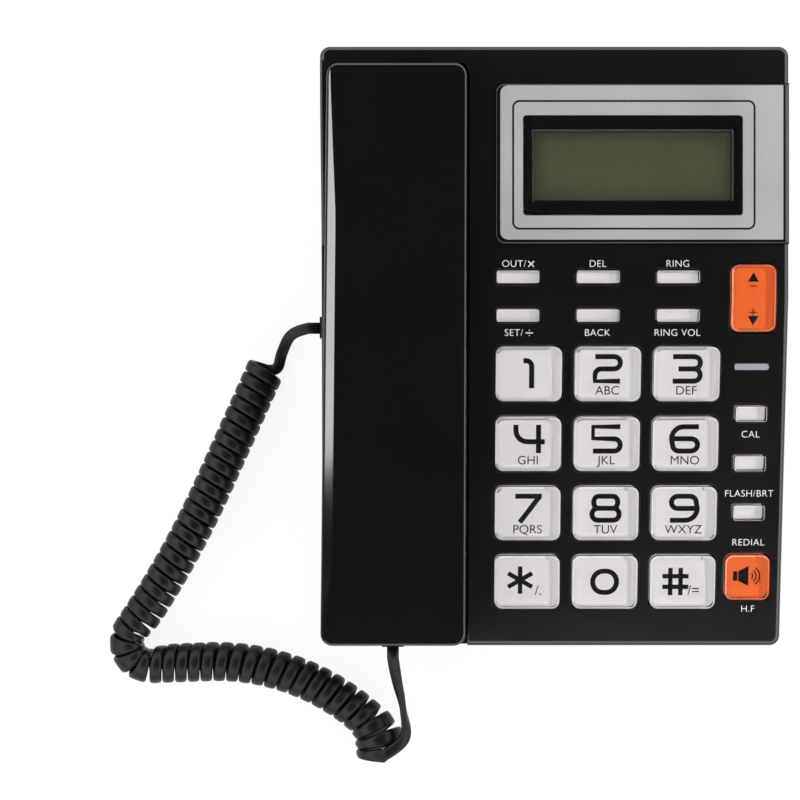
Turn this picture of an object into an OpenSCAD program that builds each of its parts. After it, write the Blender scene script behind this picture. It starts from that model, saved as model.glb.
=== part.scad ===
// Desk telephone with a corded handset: a base whose face slopes in two planes, a handset lying in a
// cradle along the left side, sprung keys, a hook plunger and a curly cord.
// Millimetres. +X right, +Y towards the rear, +Z up. The feet stand on Z = 0.

/* [Base] */
// Width of the base, left to right
base_w = 162; // [160:1:172]
// Depth of the base, front to rear
base_d = 208; // [206:1:220]
// Height of the face at the rear edge
rear_h = 50; // [48:0.5:58]
// Depth of the display part of the face, from the rear edge to the crease
display_zone = 87; // [86:0.5:90]
// Slope of the display part of the face, in degrees
display_slope = 3; // [2:0.5:4]
// Slope of the keypad part of the face, in degrees
keypad_slope = 10; // [8.5:0.5:10.5]
// Radius of the upright corners of the base
corner_r = 3.5; // [3:0.5:6]
// Wall of the base's covers
wall = 2.4; // [2:0.1:2.6]
// Height of the parting line between the covers
split_h = 11; // [10:0.5:12]
// Height of the base's underside above the table
foot_h = 2; // [1.5:0.1:3]
// Diameter of a rubber foot
foot_dia = 12; // [8:0.5:16]
// Distance of a foot's centre from the sides of the base
foot_inset_x = 17; // [14:0.5:24]
// Distance of a foot's centre from the front and rear of the base
foot_inset_y = 20; // [16:0.5:28]

/* [Cradle] */
// Slope of the cradle's deck, in degrees
cradle_slope = 7; // [6.5:0.5:7.5]
// Depth of the deck below the face at the cradle's rear wall
cradle_depth = 9; // [8:0.5:10]
// Width of the strip of face behind the cradle
rear_strip = 5; // [4.6:0.2:6]
// Gap between the handset and the cradle's walls
cradle_gap = 1.2; // [0.8:0.1:2]
// Gap between a cup of the handset and its pocket, all round and below
pocket_gap = 1; // [0.6:0.1:1.2]

/* [Handset] */
// Width of the handset
handset_w = 50.4; // [49:0.2:52]
// Length of the handset
handset_l = 200; // [196:1:201]
// Height of the handset's back above the deck, at its middle
back_h = 23; // [21:0.5:28]
// Fall of the arched back from its middle to its ends
back_arch = 3; // [2:0.5:5]
// Radius of the back's long edges
back_edge_r = 4; // [3:0.5:8]
// Radius of the handset's corners at the ear end
ear_corner_r = 4.2; // [3:0.1:9]
// Radius of the handset's corners at the mouth end
mouth_corner_r = 3.5; // [3:0.5:6]
// Narrowing of the handset's left side towards the ear end
handset_taper = 2.8; // [0:0.1:4]
// Gap between the handset's flat underside and the deck
handset_gap = 0.6; // [0.4:0.1:1]
// Height of the parting line between the handset's shells, above the deck
shell_split = 6; // [5.5:0.5:7]
// Wall of the handset's shells
shell_wall = 2.2; // [1.8:0.1:2.6]
// Width of the ear and mouth cups
cup_w = 38; // [34:0.5:38.5]
// Length of the ear and mouth cups
cup_l = 46; // [40:1:48]
// Radius of the cups' corners
cup_r = 8; // [5:0.5:12]
// Depth of the cups below the deck
cup_drop = 6.5; // [5:0.5:7]
// Distance of the cups from the handset's ends
cup_inset = 8; // [7:0.5:12]
// Travel of the handset when it is lifted off
handset_lift = 80; // [40:5:120]

/* [Display] */
// Rise of the pad that carries the display plate
pad_rise = 1.2; // [0.8:0.1:2]
// Width of bare face between the cradle's right wall and the pad
pad_margin = 8.9; // [6:0.1:12]
// Depth of the pad
pad_d = 55.2; // [54:0.2:58]
// Distance of the pad from the crease
pad_offset = 18.7; // [17.5:0.1:20]
// Width of bare pad left of the display plate
plate_left = 1.7; // [1:0.1:3]
// Width of bare pad right of the display plate
plate_right = 2.5; // [1:0.1:4]
// Width of bare pad in front of the display plate
plate_front = 1.4; // [0.6:0.1:3]
// Width of bare pad behind the display plate
plate_rear = 0.8; // [0.6:0.1:3]
// Thickness of the display plate
plate_t = 0.6; // [0.4:0.1:1]
// Distance of the display window from the pad's left end
window_left = 9.5; // [6:0.1:12]
// Distance of the display window from the pad's right end
window_right = 16.4; // [12:0.1:20]
// Distance of the display window from the pad's front edge
window_front = 9.7; // [8:0.1:12]
// Distance of the display window from the pad's rear edge
window_rear = 11.1; // [8:0.1:13]
// Thickness of the display window
window_t = 1.5; // [1.2:0.1:1.8]
// Width of the window's black border left and right of the LCD
lcd_side = 3.4; // [3:0.1:6]
// Width of the window's black border in front of and behind the LCD
lcd_edge = 4.9; // [3.5:0.1:7]
// Thickness of the LCD panel
lcd_t = 2.8; // [2:0.1:3.2]

/* [Keys] */
// Gap between the columns of digit keys
digit_gap_x = 3.8; // [3:0.1:6]
// Gap between the rows of digit keys
digit_gap_y = 4.9; // [3:0.1:7]
// Distance of the digit keys from the cradle's right wall
digit_left = 8.95; // [8.5:0.05:10]
// Distance of the digit keys from the crease
digit_rear = 16.4; // [16:0.1:18]
// Distance of the digit keys from the front edge of the face
digit_front = 13.4; // [12.5:0.1:18]
// Gap between the digit keys and the hands-free key
column_gap = 2.75; // [2.4:0.05:4]
// Width of a function key
function_w = 15.2; // [12:0.2:17]
// Depth of a function key
function_d = 4.8; // [4:0.1:5.6]
// Distance of the first function key's centre left of the first digit key's
function_shift = 4; // [3:0.1:5]
// Amount by which the function keys' columns lie further apart than the digit keys'
function_spread = 0.3; // [0:0.1:0.5]
// Distance of the upper row of function keys from the crease
function_upper = 7.3; // [6.5:0.1:8]
// Distance of the lower row of function keys from the crease
function_lower = 5.9; // [5.5:0.1:6.2]
// Distance of the right-hand column's centre from the right side of the base
side_inset = 12.5; // [12.2:0.1:12.8]
// Width of a side key
side_w = 11.4; // [9:0.2:13]
// Depth of a side key
side_d = 5.9; // [5:0.1:7]
// Amount by which the first side key lies nearer to the indicator light than to the next side key
side_lead = 1.1; // [0:0.1:3]
// Amount by which the last side key lies further from the hands-free key than from the next side key
side_tail = 5.7; // [2:0.1:7]
// Width of the hands-free key
handsfree_w = 16.2; // [14:0.2:16.4]
// Depth of the hands-free key
handsfree_d = 16.6; // [14:0.2:17]
// Distance of the hands-free key's centre behind the last row of digit keys
handsfree_rear = 1.7; // [0:0.1:3]
// Width of the volume rocker
rocker_w = 15.5; // [13:0.1:15.8]
// Length of the volume rocker, across the crease
rocker_l = 23.5; // [20:0.5:24]
// Width of the indicator light
light_w = 11.4; // [8:0.2:13]
// Depth of the indicator light
light_d = 2.1; // [1.6:0.1:3]
// Distance of the indicator light behind the middle of the first row of digit keys
light_rear = 2.4; // [1:0.1:3]
// Rise of the keys above the face
key_rise = 2.2; // [1.6:0.1:3]
// Radius of the large keys' corners
key_r = 2.8; // [1.5:0.1:4]
// Radius of the small keys' corners
small_key_r = 1.3; // [0.5:0.1:2]
// Gap between a key and the edge of its hole
key_gap = 0.4; // [0.2:0.05:0.5]
// Travel of a pressed key
key_travel = 1.5; // [0.8:0.1:1.8]

/* [Hook] */
// Diameter of the hook plunger's head
plunger_dia = 9; // [7:0.5:11]
// Travel of the hook plunger
plunger_travel = 4; // [3:0.5:4.5]
// Distance of the plunger from the middle of the ear pocket, towards the front
plunger_offset = 16; // [13:0.5:17]

/* [Cord] */
// Outer diameter of the curls
coil_od = 14.2; // [13:0.1:15]
// Width of the flat cord
cord_w = 4.2; // [3:0.1:4.4]
// Thickness of the flat cord
cord_t = 2.4; // [2:0.1:2.8]
// Distance between curls in the stretch next to the base
curl_pitch = 4.6; // [4.5:0.1:6]
// Distance between curls in the stretch next to the handset
slack_pitch = 5.1; // [4.6:0.1:6]
// Least room that the cord leaves between curls
curl_gap = 0.5; // [0.45:0.05:1]

/* [Hidden] */
DIGITS = ["key_1", "key_2", "key_3", "key_4", "key_5", "key_6",
    "key_7", "key_8", "key_9", "key_star", "key_0", "key_hash"];
FUNCTIONS = ["key_out", "key_delete", "key_ring", "key_set", "key_back", "key_ring_volume"];
SIDES = ["key_calculator", "key_flash", "key_redial"];
$fn = 48;

// Clearances shared by the pieces
fit_gap = 0.1;
run_gap = 0.05;
rest_gap = 0.2;
cut = 1;

// Face and cradle planes
half_w = base_w / 2;
half_d = base_d / 2;
crease_y = half_d - display_zone;
crease_z = rear_h - display_zone * tan(display_slope);
front_h = crease_z - (base_d - display_zone) * tan(keypad_slope);
face_drop = wall / cos(keypad_slope);
display_under = face_drop * cos(display_slope);
bend = keypad_slope - display_slope;
crease_tilt = (keypad_slope + display_slope) / 2;
floor_z = foot_h + wall;
cradle_w = handset_w + cradle_gap;
cradle_x = cradle_w - half_w;
cradle_y = half_d - rear_strip;
deck_z = rear_h - rear_strip * tan(display_slope) - cradle_depth;
handset_x = handset_w / 2 - half_w;
ear_v = -cradle_gap - cup_inset - cup_l / 2;
deck_l = (base_d - rear_strip) / cos(cradle_slope);
mouth_v = max(-cradle_gap - handset_l + cup_inset, 2 * wall + pocket_gap - deck_l) + cup_l / 2;
handset_v = -cradle_gap - handset_l / 2;
pocket_n = -cup_drop - pocket_gap / 2;

// Layout of the display and the keys on the face right of the cradle
face_w = base_w - cradle_w;
pad_w = face_w - pad_margin;
window_w = pad_w - window_left - window_right;
window_d = pad_d - window_front - window_rear;
window_x = half_w - window_right - window_w / 2;
window_v = pad_offset + window_front + window_d / 2;
lcd_view_w = window_w - 2 * lcd_side;
lcd_view_d = window_d - 2 * lcd_edge;
keypad_l = (base_d - display_zone) / cos(keypad_slope);
digit_w = (face_w - digit_left - 2 * digit_gap_x - column_gap - handsfree_w / 2 - side_inset) / 3;
digit_d = (keypad_l - digit_rear - digit_front - 3 * digit_gap_y) / 4;
digit_pitch_x = digit_w + digit_gap_x;
digit_pitch_y = digit_d + digit_gap_y;
digit_x = cradle_x + digit_left + digit_w / 2;
digit_offset = digit_rear + digit_d / 2;
function_x = digit_x - function_shift;
function_pitch = digit_pitch_x + function_spread;
handsfree_offset = digit_offset + 3 * digit_pitch_y - handsfree_rear;
light_offset = digit_offset - light_rear;
side_pitch = (handsfree_offset - light_offset + side_lead - side_tail) / 4;
side_offset = light_offset + side_pitch - side_lead;

// Key stack, measured down from the face
key_seat = wall + rest_gap;
flange_t = 1.2;
flange_w = 1;
stem_t = 0.4;
stem_n = -key_seat - flange_t - stem_t;
mat_depth = 7;
mat_n = -mat_depth;
mat_t = 1;
board_n = mat_n - mat_t;
board_t = 1.6;
board_edge = 5.8;
board_front = digit_offset + 3 * digit_pitch_y + digit_d / 2 + 2.4;
board_rear = 12;
dome_r = 4;
small_dome_r = 2.2;
dome_taper = 0.7;

// Volume rocker on its two pins
rocker_bend = bend / 2;
rocker_swing = 4;
rocker_depth = 4.9;
rocker_flange_n = -rocker_depth;
rocker_flange_t = 1;
pin_r = 1.2;
lug_t = 1.2;
lug_gap = 0.3;
rocker_half = rocker_w / 2 + flange_w + lug_gap;

// Boards and their posts
post_r = 2;
post_gap = 0.5;
screw_shank_r = 0.9;
screw_head_r = 2.1;
screw_head_t = 1.4;
screw_bite = 3;
post_row = digit_rear - flange_w - post_r - post_gap;
board_posts = [[cradle_x + board_edge + post_r + post_gap, -post_row],
    [half_w - side_inset - rocker_half - lug_t - post_r - post_gap, -post_row],
    [half_w - side_inset, -side_offset - side_pitch / 2],
    [half_w - side_inset, -side_offset - 1.5 * side_pitch]];
main_z = 9;
main_left = cradle_x + 7.4;
main_right = half_w - 13;
main_w = main_right - main_left;
main_d = 68;
main_x = (main_left + main_right) / 2;
main_y = half_d - wall - 1 - main_d / 2;
main_post_inset = 5;
main_posts = [for (sx = [-1, 1], sy = [-1, 1])
    [main_x + sx * (main_w / 2 - main_post_inset), main_y + sy * (main_d / 2 - main_post_inset)]];

// Screws that hold the covers together
boss_r = 3.5;
base_shank_r = 1.4;
base_head_r = 2.75;
base_head_t = 2;
base_sink = 1.2;
base_screw_l = 14;
screw_inset = 7;
cradle_screw_inset = 10;
base_screw_at = [[cradle_screw_inset - half_w, half_d - screw_inset - 1],
    [half_w - screw_inset, half_d - screw_inset], [half_w - screw_inset, screw_inset - half_d], [cradle_x + screw_inset, screw_inset - half_d],
    [cradle_screw_inset - half_w, -15]];

// Jacks and modular plugs
jack_wall = 1.6;
plug_w = 7.7;
plug_h = 6.5;
plug_l = 11.5;
plug_show = 1.5;
socket_n = 10.8;
socket_l = 14;
base_jack_y = 10;
base_jack_z = floor_z + jack_wall + plug_h / 2 + fit_gap;
line_jack_x = 40;
line_w = 9.9;
line_h = 6.9;
line_depth = 13;
line_block = 16;
line_z = main_z + board_t;

// Loudspeaker and hands-free microphone on the bottom cover
speaker_x = 25;
speaker_y = -30;
speaker_r = 25;
speaker_h = 5.6;
magnet_r = 13;
magnet_h = 7;
ring_t = 1.8;
ring_h = 4;
grille_r = 1.5;
grille_pitch = 6.5;
mic_r = 4.9;
mic_h = 6;
mic_x = 40;
mic_y = 12 - half_d;

// LCD holder
lcd_border = 3;
holder_t = 1.4;
holder_h = lcd_t + holder_t + rest_gap;
window_ledge = 2.2;

// Hook
plunger_v = ear_v - plunger_offset;
pocket_under = pocket_n - wall;
plunger_flange_r = plunger_dia / 2 + 1;
plunger_flange_t = 1.5;
plunger_flange_n = pocket_under - plunger_travel - rest_gap;
stem_r = 2.5;
bracket_w = 17;
bracket_d = 14;
bracket_t = 2;
bracket_floor = plunger_flange_n - plunger_flange_t - 4.8;
stem_end = bracket_floor - bracket_t - 1.2;
spring_r = 3.8;
spring_wire = 0.7;
spring_curls = 3;
switch_w = 13;
switch_d = 7;
switch_button_r = 1.5;

// Handset inside
back_radius = (handset_l * handset_l / 4 + back_arch * back_arch) / (2 * back_arch);
receiver_r = 15;
receiver_h = 9;
handset_boss_r = 3;
handset_screw_l = 9;
head_sink = 0.6;
screw_from_cup = 8;
handset_screw_v = [ear_v - cup_l / 2 - screw_from_cup, mouth_v + cup_l / 2 + screw_from_cup];
weight_w = 20;
weight_h = 7;
weight_gap = 12;
weight_l = handset_screw_v[0] - handset_screw_v[1] - 2 * weight_gap;
weight_v = (handset_screw_v[0] + handset_screw_v[1]) / 2;

// Route of the curly cord: start and heading of the curls' axis, then its stretches as length, turn
// and distance between curls, of which one is a sharp fold
coil_r = (coil_od - cord_t) / 2;
coil_z = coil_od / 2 + 0.1;
coil_start = [-58.2, -138];
coil_heading = 139;
coil_runs = [[10, 0, slack_pitch], [62, 43, slack_pitch], [21, 0, curl_pitch], [17, -126, curl_pitch],
    [60, 10, curl_pitch], [52, 0, curl_pitch]];
fold_run = 3;
fold_room = 2.4;
edge_swell = 1.4;
handset_tail_points = [[-54.5, -116, 22], [-52.5, -126, 17.5], [-52.5, -133, 14]];
base_tail_points = [[-96.5, -1.5, 1.6], [-92.5, 5, 5]];
rings_per_curl = 8;
tail_steps = 3;

// Small helpers
function unit(a) = a / norm(a);
function direction(a) = [cos(a), sin(a), 0];
function sum_to(list, k) = k == 0 ? 0 : list[k - 1] + sum_to(list, k - 1);

module rounded_rect(w, d, r) {
    square([w - 2 * r, d], center = true);
    square([w, d - 2 * r], center = true);
    for (sx = [-1, 1], sy = [-1, 1])
        translate([sx * (w / 2 - r), sy * (d / 2 - r)]) circle(r);
}

module slab(w, d, r, low, high) {
    translate([0, 0, low]) linear_extrude(high - low) rounded_rect(w, d, r);
}

module block(w, d, low, high) {
    translate([-w / 2, -d / 2, low]) cube([w, d, high - low]);
}

module on_display(x, v) {
    translate([0, crease_y, crease_z]) rotate([display_slope, 0, 0]) translate([x, v, 0]) children();
}

module on_keypad(x, v) {
    translate([0, crease_y, crease_z]) rotate([keypad_slope, 0, 0]) translate([x, v, 0]) children();
}

module on_crease(x) {
    translate([x, crease_y, crease_z]) rotate([crease_tilt, 0, 0]) children();
}

module on_deck(x, v) {
    translate([0, cradle_y, deck_z]) rotate([cradle_slope, 0, 0]) translate([x, v, 0]) children();
}

// Base covers

module base_body(inset) {
    low = inset / cos(keypad_slope);
    intersection() {
        linear_extrude(rear_h + cut)
            rounded_rect(base_w - 2 * inset, base_d - 2 * inset, max(corner_r - inset, 0.5));
        rotate([90, 0, 90]) linear_extrude(base_w + 2 * cut, center = true) polygon([
            [-half_d - cut, split_h - inset], [half_d + cut, split_h - inset],
            [half_d + cut, rear_h + cut * tan(display_slope) - low], [crease_y, crease_z - low],
            [-half_d - cut, front_h - cut * tan(keypad_slope) - low]]);
    }
}

module cradle_space(grow, rear = 0) {
    on_deck(cradle_x + grow - base_w, grow + rear - 2 * base_d) translate([0, 0, -grow])
        cube([base_w, 2 * base_d, rear_h]);
}

module pockets(grow) {
    for (v = [ear_v, mouth_v])
        on_deck(handset_x, v)
            slab(cup_w + 2 * (pocket_gap + grow), cup_l + 2 * (pocket_gap + grow),
                cup_r + pocket_gap + grow, pocket_n - grow, grow == 0 ? cut : 0);
}

module cover_void() {
    difference() {
        base_body(wall);
        cradle_space(wall, rear_strip);
        pockets(wall);
    }
}

// Slab from its front left corner, with round left corners and square right ones
module left_round_slab(w, d, r, low, high) {
    translate([0, 0, low]) linear_extrude(high - low) {
        translate([r, 0]) square([w - r, d]);
        translate([0, r]) square([w, d - 2 * r]);
        for (v = [r, d - r]) translate([r, v]) circle(r);
    }
}

module display_pad() {
    on_display(half_w - pad_w, pad_offset) left_round_slab(pad_w, pad_d, corner_r, -wall, pad_rise);
}

module display_cuts() {
    on_display(window_x, window_v) {
        block(lcd_view_w + window_ledge, lcd_view_d + window_ledge, -2 * wall, wall);
        slab(window_w + 2 * fit_gap, window_d + 2 * fit_gap, small_key_r,
            pad_rise + plate_t - window_t, wall + cut);
    }
}

module key_hole(w, d, r) {
    slab(w + 2 * key_gap, d + 2 * key_gap, r + key_gap, -2 * wall, key_rise + cut);
}

module key_holes() {
    for (i = [0:11]) at_digit(i) key_hole(digit_w, digit_d, key_r);
    for (i = [0:5]) at_function(i) key_hole(function_w, function_d, small_key_r);
    for (i = [0:2]) at_side(i) key_hole(side_w, side_d, small_key_r);
    at_handsfree() key_hole(handsfree_w, handsfree_d, key_r);
    on_crease(half_w - side_inset) key_hole(rocker_w, rocker_l + key_gap, key_r);
    on_keypad(half_w - side_inset, -light_offset)
        block(light_w + 2 * fit_gap, light_d + 2 * fit_gap, -2 * wall, cut);
}

module rocker_lugs() {
    on_crease(half_w - side_inset)
        for (s = [-1, 1])
            translate([s * (rocker_half + lug_t / 2), 0, 0]) difference() {
                block(lug_t, 5 * pin_r, rocker_flange_n - 1.6 * pin_r, -wall / 2);
                translate([0, 0, rocker_flange_n]) rotate([0, 90, 0])
                    cylinder(r = pin_r + run_gap, h = 2 * lug_t, center = true);
            }
}

module board_post_set() {
    for (p = board_posts)
        on_keypad(p[0], p[1]) difference() {
            translate([0, 0, board_n]) cylinder(r = post_r, h = -board_n - wall / 2);
            translate([0, 0, board_n - cut]) cylinder(r = screw_shank_r + run_gap, h = -board_n - wall - cut);
        }
}

module base_bosses() {
    difference() {
        intersection() {
            union() for (p = base_screw_at)
                translate([p[0], p[1], floor_z]) cylinder(r = boss_r, h = rear_h);
            union() {
                difference() {
                    base_body(wall / 2);
                    cradle_space(wall / 2);
                }
                block(base_w - 2 * wall - 2 * fit_gap, base_d - 2 * wall - 2 * fit_gap, floor_z, split_h);
            }
        }
        for (p = base_screw_at) translate([p[0], p[1], 0])
            cylinder(r = base_shank_r + run_gap, h = foot_h + base_sink + base_screw_l + cut);
    }
}

module jack_cuts() {
    translate([-half_w, base_jack_y, base_jack_z]) rotate([0, 90, 0])
        block(plug_h + 2 * rest_gap, plug_w + 2 * rest_gap, -cut, wall + cut);
    translate([line_jack_x, half_d, line_z + jack_wall + line_h / 2]) rotate([90, 0, 0])
        block(line_w + 2 * rest_gap, line_h + 2 * rest_gap, -cut, wall + cut);
}

module top_cover() {
    color([0.09, 0.09, 0.09]) {
        difference() {
            union() {
                base_body(0);
                display_pad();
                pockets(wall);
            }
            cradle_space(0);
            pockets(0);
            cover_void();
            display_cuts();
            key_holes();
            jack_cuts();
            on_deck(handset_x, plunger_v) translate([0, 0, -2 * wall + pocket_n])
                cylinder(d = plunger_dia + 2 * rest_gap, h = 3 * wall);
        }
        rocker_lugs();
        board_post_set();
        base_bosses();
    }
}

module grille() {
    for (ring = [0:2], i = [0:max(6 * ring - 1, 0)])
        rotate(ring == 0 ? 0 : 60 * i / ring) translate([ring * grille_pitch, 0, foot_h - cut])
            cylinder(r = grille_r, h = wall + 2 * cut);
}

module bottom_cover() {
    color([0.1, 0.1, 0.1]) difference() {
        union() {
            difference() {
                slab(base_w, base_d, corner_r, foot_h, split_h);
                slab(base_w - 2 * wall, base_d - 2 * wall, max(corner_r - wall, 0.5), floor_z, split_h + cut);
            }
            for (p = main_posts) translate([p[0], p[1], floor_z - cut])
                cylinder(r = post_r, h = main_z - floor_z + cut);
            translate([speaker_x, speaker_y, floor_z - cut]) ring(speaker_r + fit_gap, ring_t, ring_h + cut);
            translate([mic_x, mic_y, floor_z - cut]) ring(mic_r + fit_gap, ring_t, ring_h + cut);
        }
        for (p = main_posts) translate([p[0], p[1], floor_z])
            cylinder(r = screw_shank_r + run_gap, h = main_z);
        translate([speaker_x, speaker_y, 0]) grille();
        translate([mic_x, mic_y, 0]) cylinder(r = grille_r, h = floor_z + cut);
        for (p = feet_at()) translate([p[0], p[1], 0])
            cylinder(d = foot_dia + 2 * fit_gap, h = foot_h + wall / 2);
        for (p = base_screw_at) translate([p[0], p[1], 0]) {
            cylinder(r = base_head_r + rest_gap, h = foot_h + base_sink);
            cylinder(r = base_shank_r + rest_gap, h = floor_z + cut);
        }
        jack_cuts();
    }
}

module ring(r, t, h) {
    difference() {
        cylinder(r = r + t, h = h);
        translate([0, 0, -cut]) cylinder(r = r, h = h + 2 * cut);
    }
}

function feet_at() = [for (sx = [-1, 1], sy = [-1, 1])
    [sx * (half_w - foot_inset_x), sy * (half_d - foot_inset_y)]];

module rubber_feet() {
    color([0.15, 0.15, 0.15])
        for (p = feet_at()) translate([p[0], p[1], 0]) cylinder(d = foot_dia, h = foot_h + wall / 2);
}

module base_screws() {
    color([0.7, 0.7, 0.72])
        for (p = base_screw_at) translate([p[0], p[1], foot_h + base_sink]) {
            translate([0, 0, -base_head_t]) cylinder(r = base_head_r, h = base_head_t);
            cylinder(r = base_shank_r, h = base_screw_l);
        }
}

// Display

module display_plate() {
    color([0.72, 0.72, 0.74]) difference() {
        on_display(half_w - pad_w + plate_left, pad_offset + plate_front)
            left_round_slab(pad_w - plate_left - plate_right, pad_d - plate_front - plate_rear,
                corner_r - plate_left / 2, pad_rise, pad_rise + plate_t);
        display_cuts();
    }
}

module display_window() {
    color([0.05, 0.05, 0.05]) on_display(window_x, window_v)
        slab(window_w, window_d, small_key_r, pad_rise + plate_t - window_t, pad_rise + plate_t);
}

module lcd_panel() {
    color([0.35, 0.36, 0.28]) on_display(window_x, window_v)
        block(lcd_view_w + 2 * lcd_border, lcd_view_d + 2 * lcd_border,
            -display_under - lcd_t, -display_under);
}

module lcd_holder() {
    panel_w = lcd_view_w + 2 * lcd_border;
    panel_d = lcd_view_d + 2 * lcd_border;
    color([0.85, 0.85, 0.85]) on_display(window_x, window_v) difference() {
        block(panel_w + 2 * holder_t, panel_d + 2 * holder_t, -display_under - holder_h, -display_under);
        block(panel_w + 2 * fit_gap, panel_d + 2 * fit_gap, -display_under - lcd_t, cut);
    }
}

// Keys

module at_digit(i) {
    on_keypad(digit_x + (i % 3) * digit_pitch_x, -digit_offset - floor(i / 3) * digit_pitch_y) children();
}

module at_function(i) {
    x = function_x + (i % 3) * function_pitch;
    if (i < 3) on_display(x, function_upper) children();
    else on_keypad(x, -function_lower) children();
}

module at_side(i) {
    on_keypad(half_w - side_inset, -side_offset - i * side_pitch) children();
}

module at_handsfree() {
    on_keypad(half_w - side_inset, -handsfree_offset) children();
}

module key(w, d, r) {
    slab(w, d, r, -key_seat, key_rise);
    slab(w + 2 * flange_w, d + 2 * flange_w, r + flange_w, -key_seat - flange_t, -key_seat);
    slab(w * 0.6, d * 0.6, r * 0.6, stem_n, -key_seat - flange_t);
}

module digit_key(i) { color([0.86, 0.87, 0.88]) at_digit(i) key(digit_w, digit_d, key_r); }

module function_key(i) { color([0.86, 0.87, 0.88]) at_function(i) key(function_w, function_d, small_key_r); }

module side_key(i) { color([0.86, 0.87, 0.88]) at_side(i) key(side_w, side_d, small_key_r); }

module key_handsfree() { color([0.93, 0.38, 0.15]) at_handsfree() key(handsfree_w, handsfree_d, key_r); }

module volume_rocker() {
    fall = rocker_l / 2 * tan(rocker_bend);
    color([0.93, 0.38, 0.15]) on_crease(half_w - side_inset) {
        intersection() {
            slab(rocker_w, rocker_l, key_r, rocker_flange_n, key_rise + cut);
            rotate([90, 0, 90]) linear_extrude(base_w, center = true) polygon([
                [-rocker_l / 2 - cut, rocker_flange_n - cut], [rocker_l / 2 + cut, rocker_flange_n - cut],
                [rocker_l / 2, key_rise - fall], [0, key_rise], [-rocker_l / 2, key_rise - fall]]);
        }
        slab(rocker_w + 2 * flange_w, rocker_l + 2 * flange_w, key_r + flange_w,
            rocker_flange_n - rocker_flange_t / 2, rocker_flange_n + rocker_flange_t / 2);
        translate([0, 0, rocker_flange_n]) rotate([0, 90, 0])
            cylinder(r = pin_r, h = 2 * (rocker_half + lug_t - lug_gap), center = true);
    }
}

module dome(r, top) {
    translate([0, 0, mat_n]) cylinder(r1 = r, r2 = r * dome_taper, h = top - mat_n);
}

module mat_domes() {
    key_top = stem_n - rest_gap;
    for (i = [0:11]) at_digit(i) dome(dome_r, key_top);
    for (i = [3:5]) at_function(i) dome(small_dome_r, key_top);
    for (i = [0:2]) at_side(i) dome(small_dome_r, key_top);
    at_handsfree() dome(dome_r, key_top);
    for (i = [0:2]) on_keypad(function_x + i * function_pitch,
        function_upper * cos(bend) + key_top * sin(bend))
        dome(small_dome_r, key_top * cos(bend) - function_upper * sin(bend) - rest_gap);
    for (s = [-1, 1]) on_keypad(half_w - side_inset, s * rocker_l / 3)
        dome(small_dome_r, rocker_flange_n - rocker_flange_t / 2 - rest_gap
            - (s * rocker_l / 3 + small_dome_r) * sin(rocker_bend));
}

module board_sheet(low, high) {
    left = cradle_x + board_edge;
    right = half_w - wall - rest_gap;
    on_keypad((left + right) / 2, (board_rear - board_front) / 2)
        block(right - left, board_front + board_rear, low, high);
}

module key_mat() {
    color([0.75, 0.77, 0.78]) {
        difference() {
            board_sheet(board_n, mat_n);
            for (p = board_posts) on_keypad(p[0], p[1]) translate([0, 0, board_n - cut])
                cylinder(r = post_r + rest_gap, h = mat_t + 2 * cut);
            on_keypad(half_w - side_inset, -light_offset)
                block(light_w + 2 * cut, light_d + 4 * cut, board_n - cut, mat_n + cut);
        }
        mat_domes();
    }
}

module keypad_board() {
    color([0.1, 0.42, 0.22]) difference() {
        board_sheet(board_n - board_t, board_n);
        for (p = board_posts) on_keypad(p[0], p[1]) translate([0, 0, board_n - board_t - cut])
            cylinder(r = screw_shank_r + fit_gap, h = board_t + 2 * cut);
    }
}

module board_screw(length) {
    cylinder(r = screw_shank_r, h = length);
    translate([0, 0, -screw_head_t]) cylinder(r = screw_head_r, h = screw_head_t);
}

module board_screws() {
    color([0.7, 0.7, 0.72]) {
        for (p = board_posts) on_keypad(p[0], p[1]) translate([0, 0, board_n - board_t])
            board_screw(board_t + screw_bite);
        for (p = main_posts) translate([p[0], p[1], main_z + board_t]) mirror([0, 0, 1])
            board_screw(board_t + screw_bite);
    }
}

module main_board() {
    color([0.1, 0.42, 0.22]) difference() {
        translate([main_x, main_y, 0]) block(main_w, main_d, main_z, main_z + board_t);
        for (p = main_posts) translate([p[0], p[1], main_z - cut])
            cylinder(r = screw_shank_r + fit_gap, h = board_t + 2 * cut);
    }
}

module indicator_lens() {
    color([0.62, 0.61, 0.66]) on_keypad(half_w - side_inset, -light_offset) {
        block(light_w, light_d, -wall - rest_gap, 0.3);
        block(light_w + 2 * flange_w, light_d + 2 * flange_w, -wall - flange_t, -wall);
    }
}

module indicator_led() {
    color([0.9, 0.2, 0.2]) on_keypad(half_w - side_inset, -light_offset)
        block(light_w / 2, light_d, board_n, -wall - flange_t - rest_gap);
}

// Loudspeaker, microphone and jacks

module loudspeaker() {
    color([0.3, 0.3, 0.32]) translate([speaker_x, speaker_y, floor_z]) {
        difference() {
            cylinder(r = speaker_r, h = speaker_h);
            translate([0, 0, -cut]) cylinder(r1 = speaker_r - 1, r2 = magnet_r / 2, h = speaker_h - 1 + cut);
        }
        translate([0, 0, speaker_h - cut]) cylinder(r = magnet_r, h = magnet_h + cut);
    }
}

module handsfree_microphone() {
    color([0.6, 0.6, 0.6]) translate([mic_x, mic_y, floor_z]) cylinder(r = mic_r, h = mic_h);
}

module base_jack() {
    color([0.2, 0.2, 0.2]) translate([-half_w + wall, base_jack_y, base_jack_z])
        rotate([0, 90, 0]) difference() {
            block(plug_h + 2 * (fit_gap + jack_wall), plug_w + 2 * (fit_gap + jack_wall), 0, socket_l);
            block(plug_h + 2 * fit_gap, plug_w + 2 * fit_gap, -cut, plug_l);
        }
}

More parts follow.
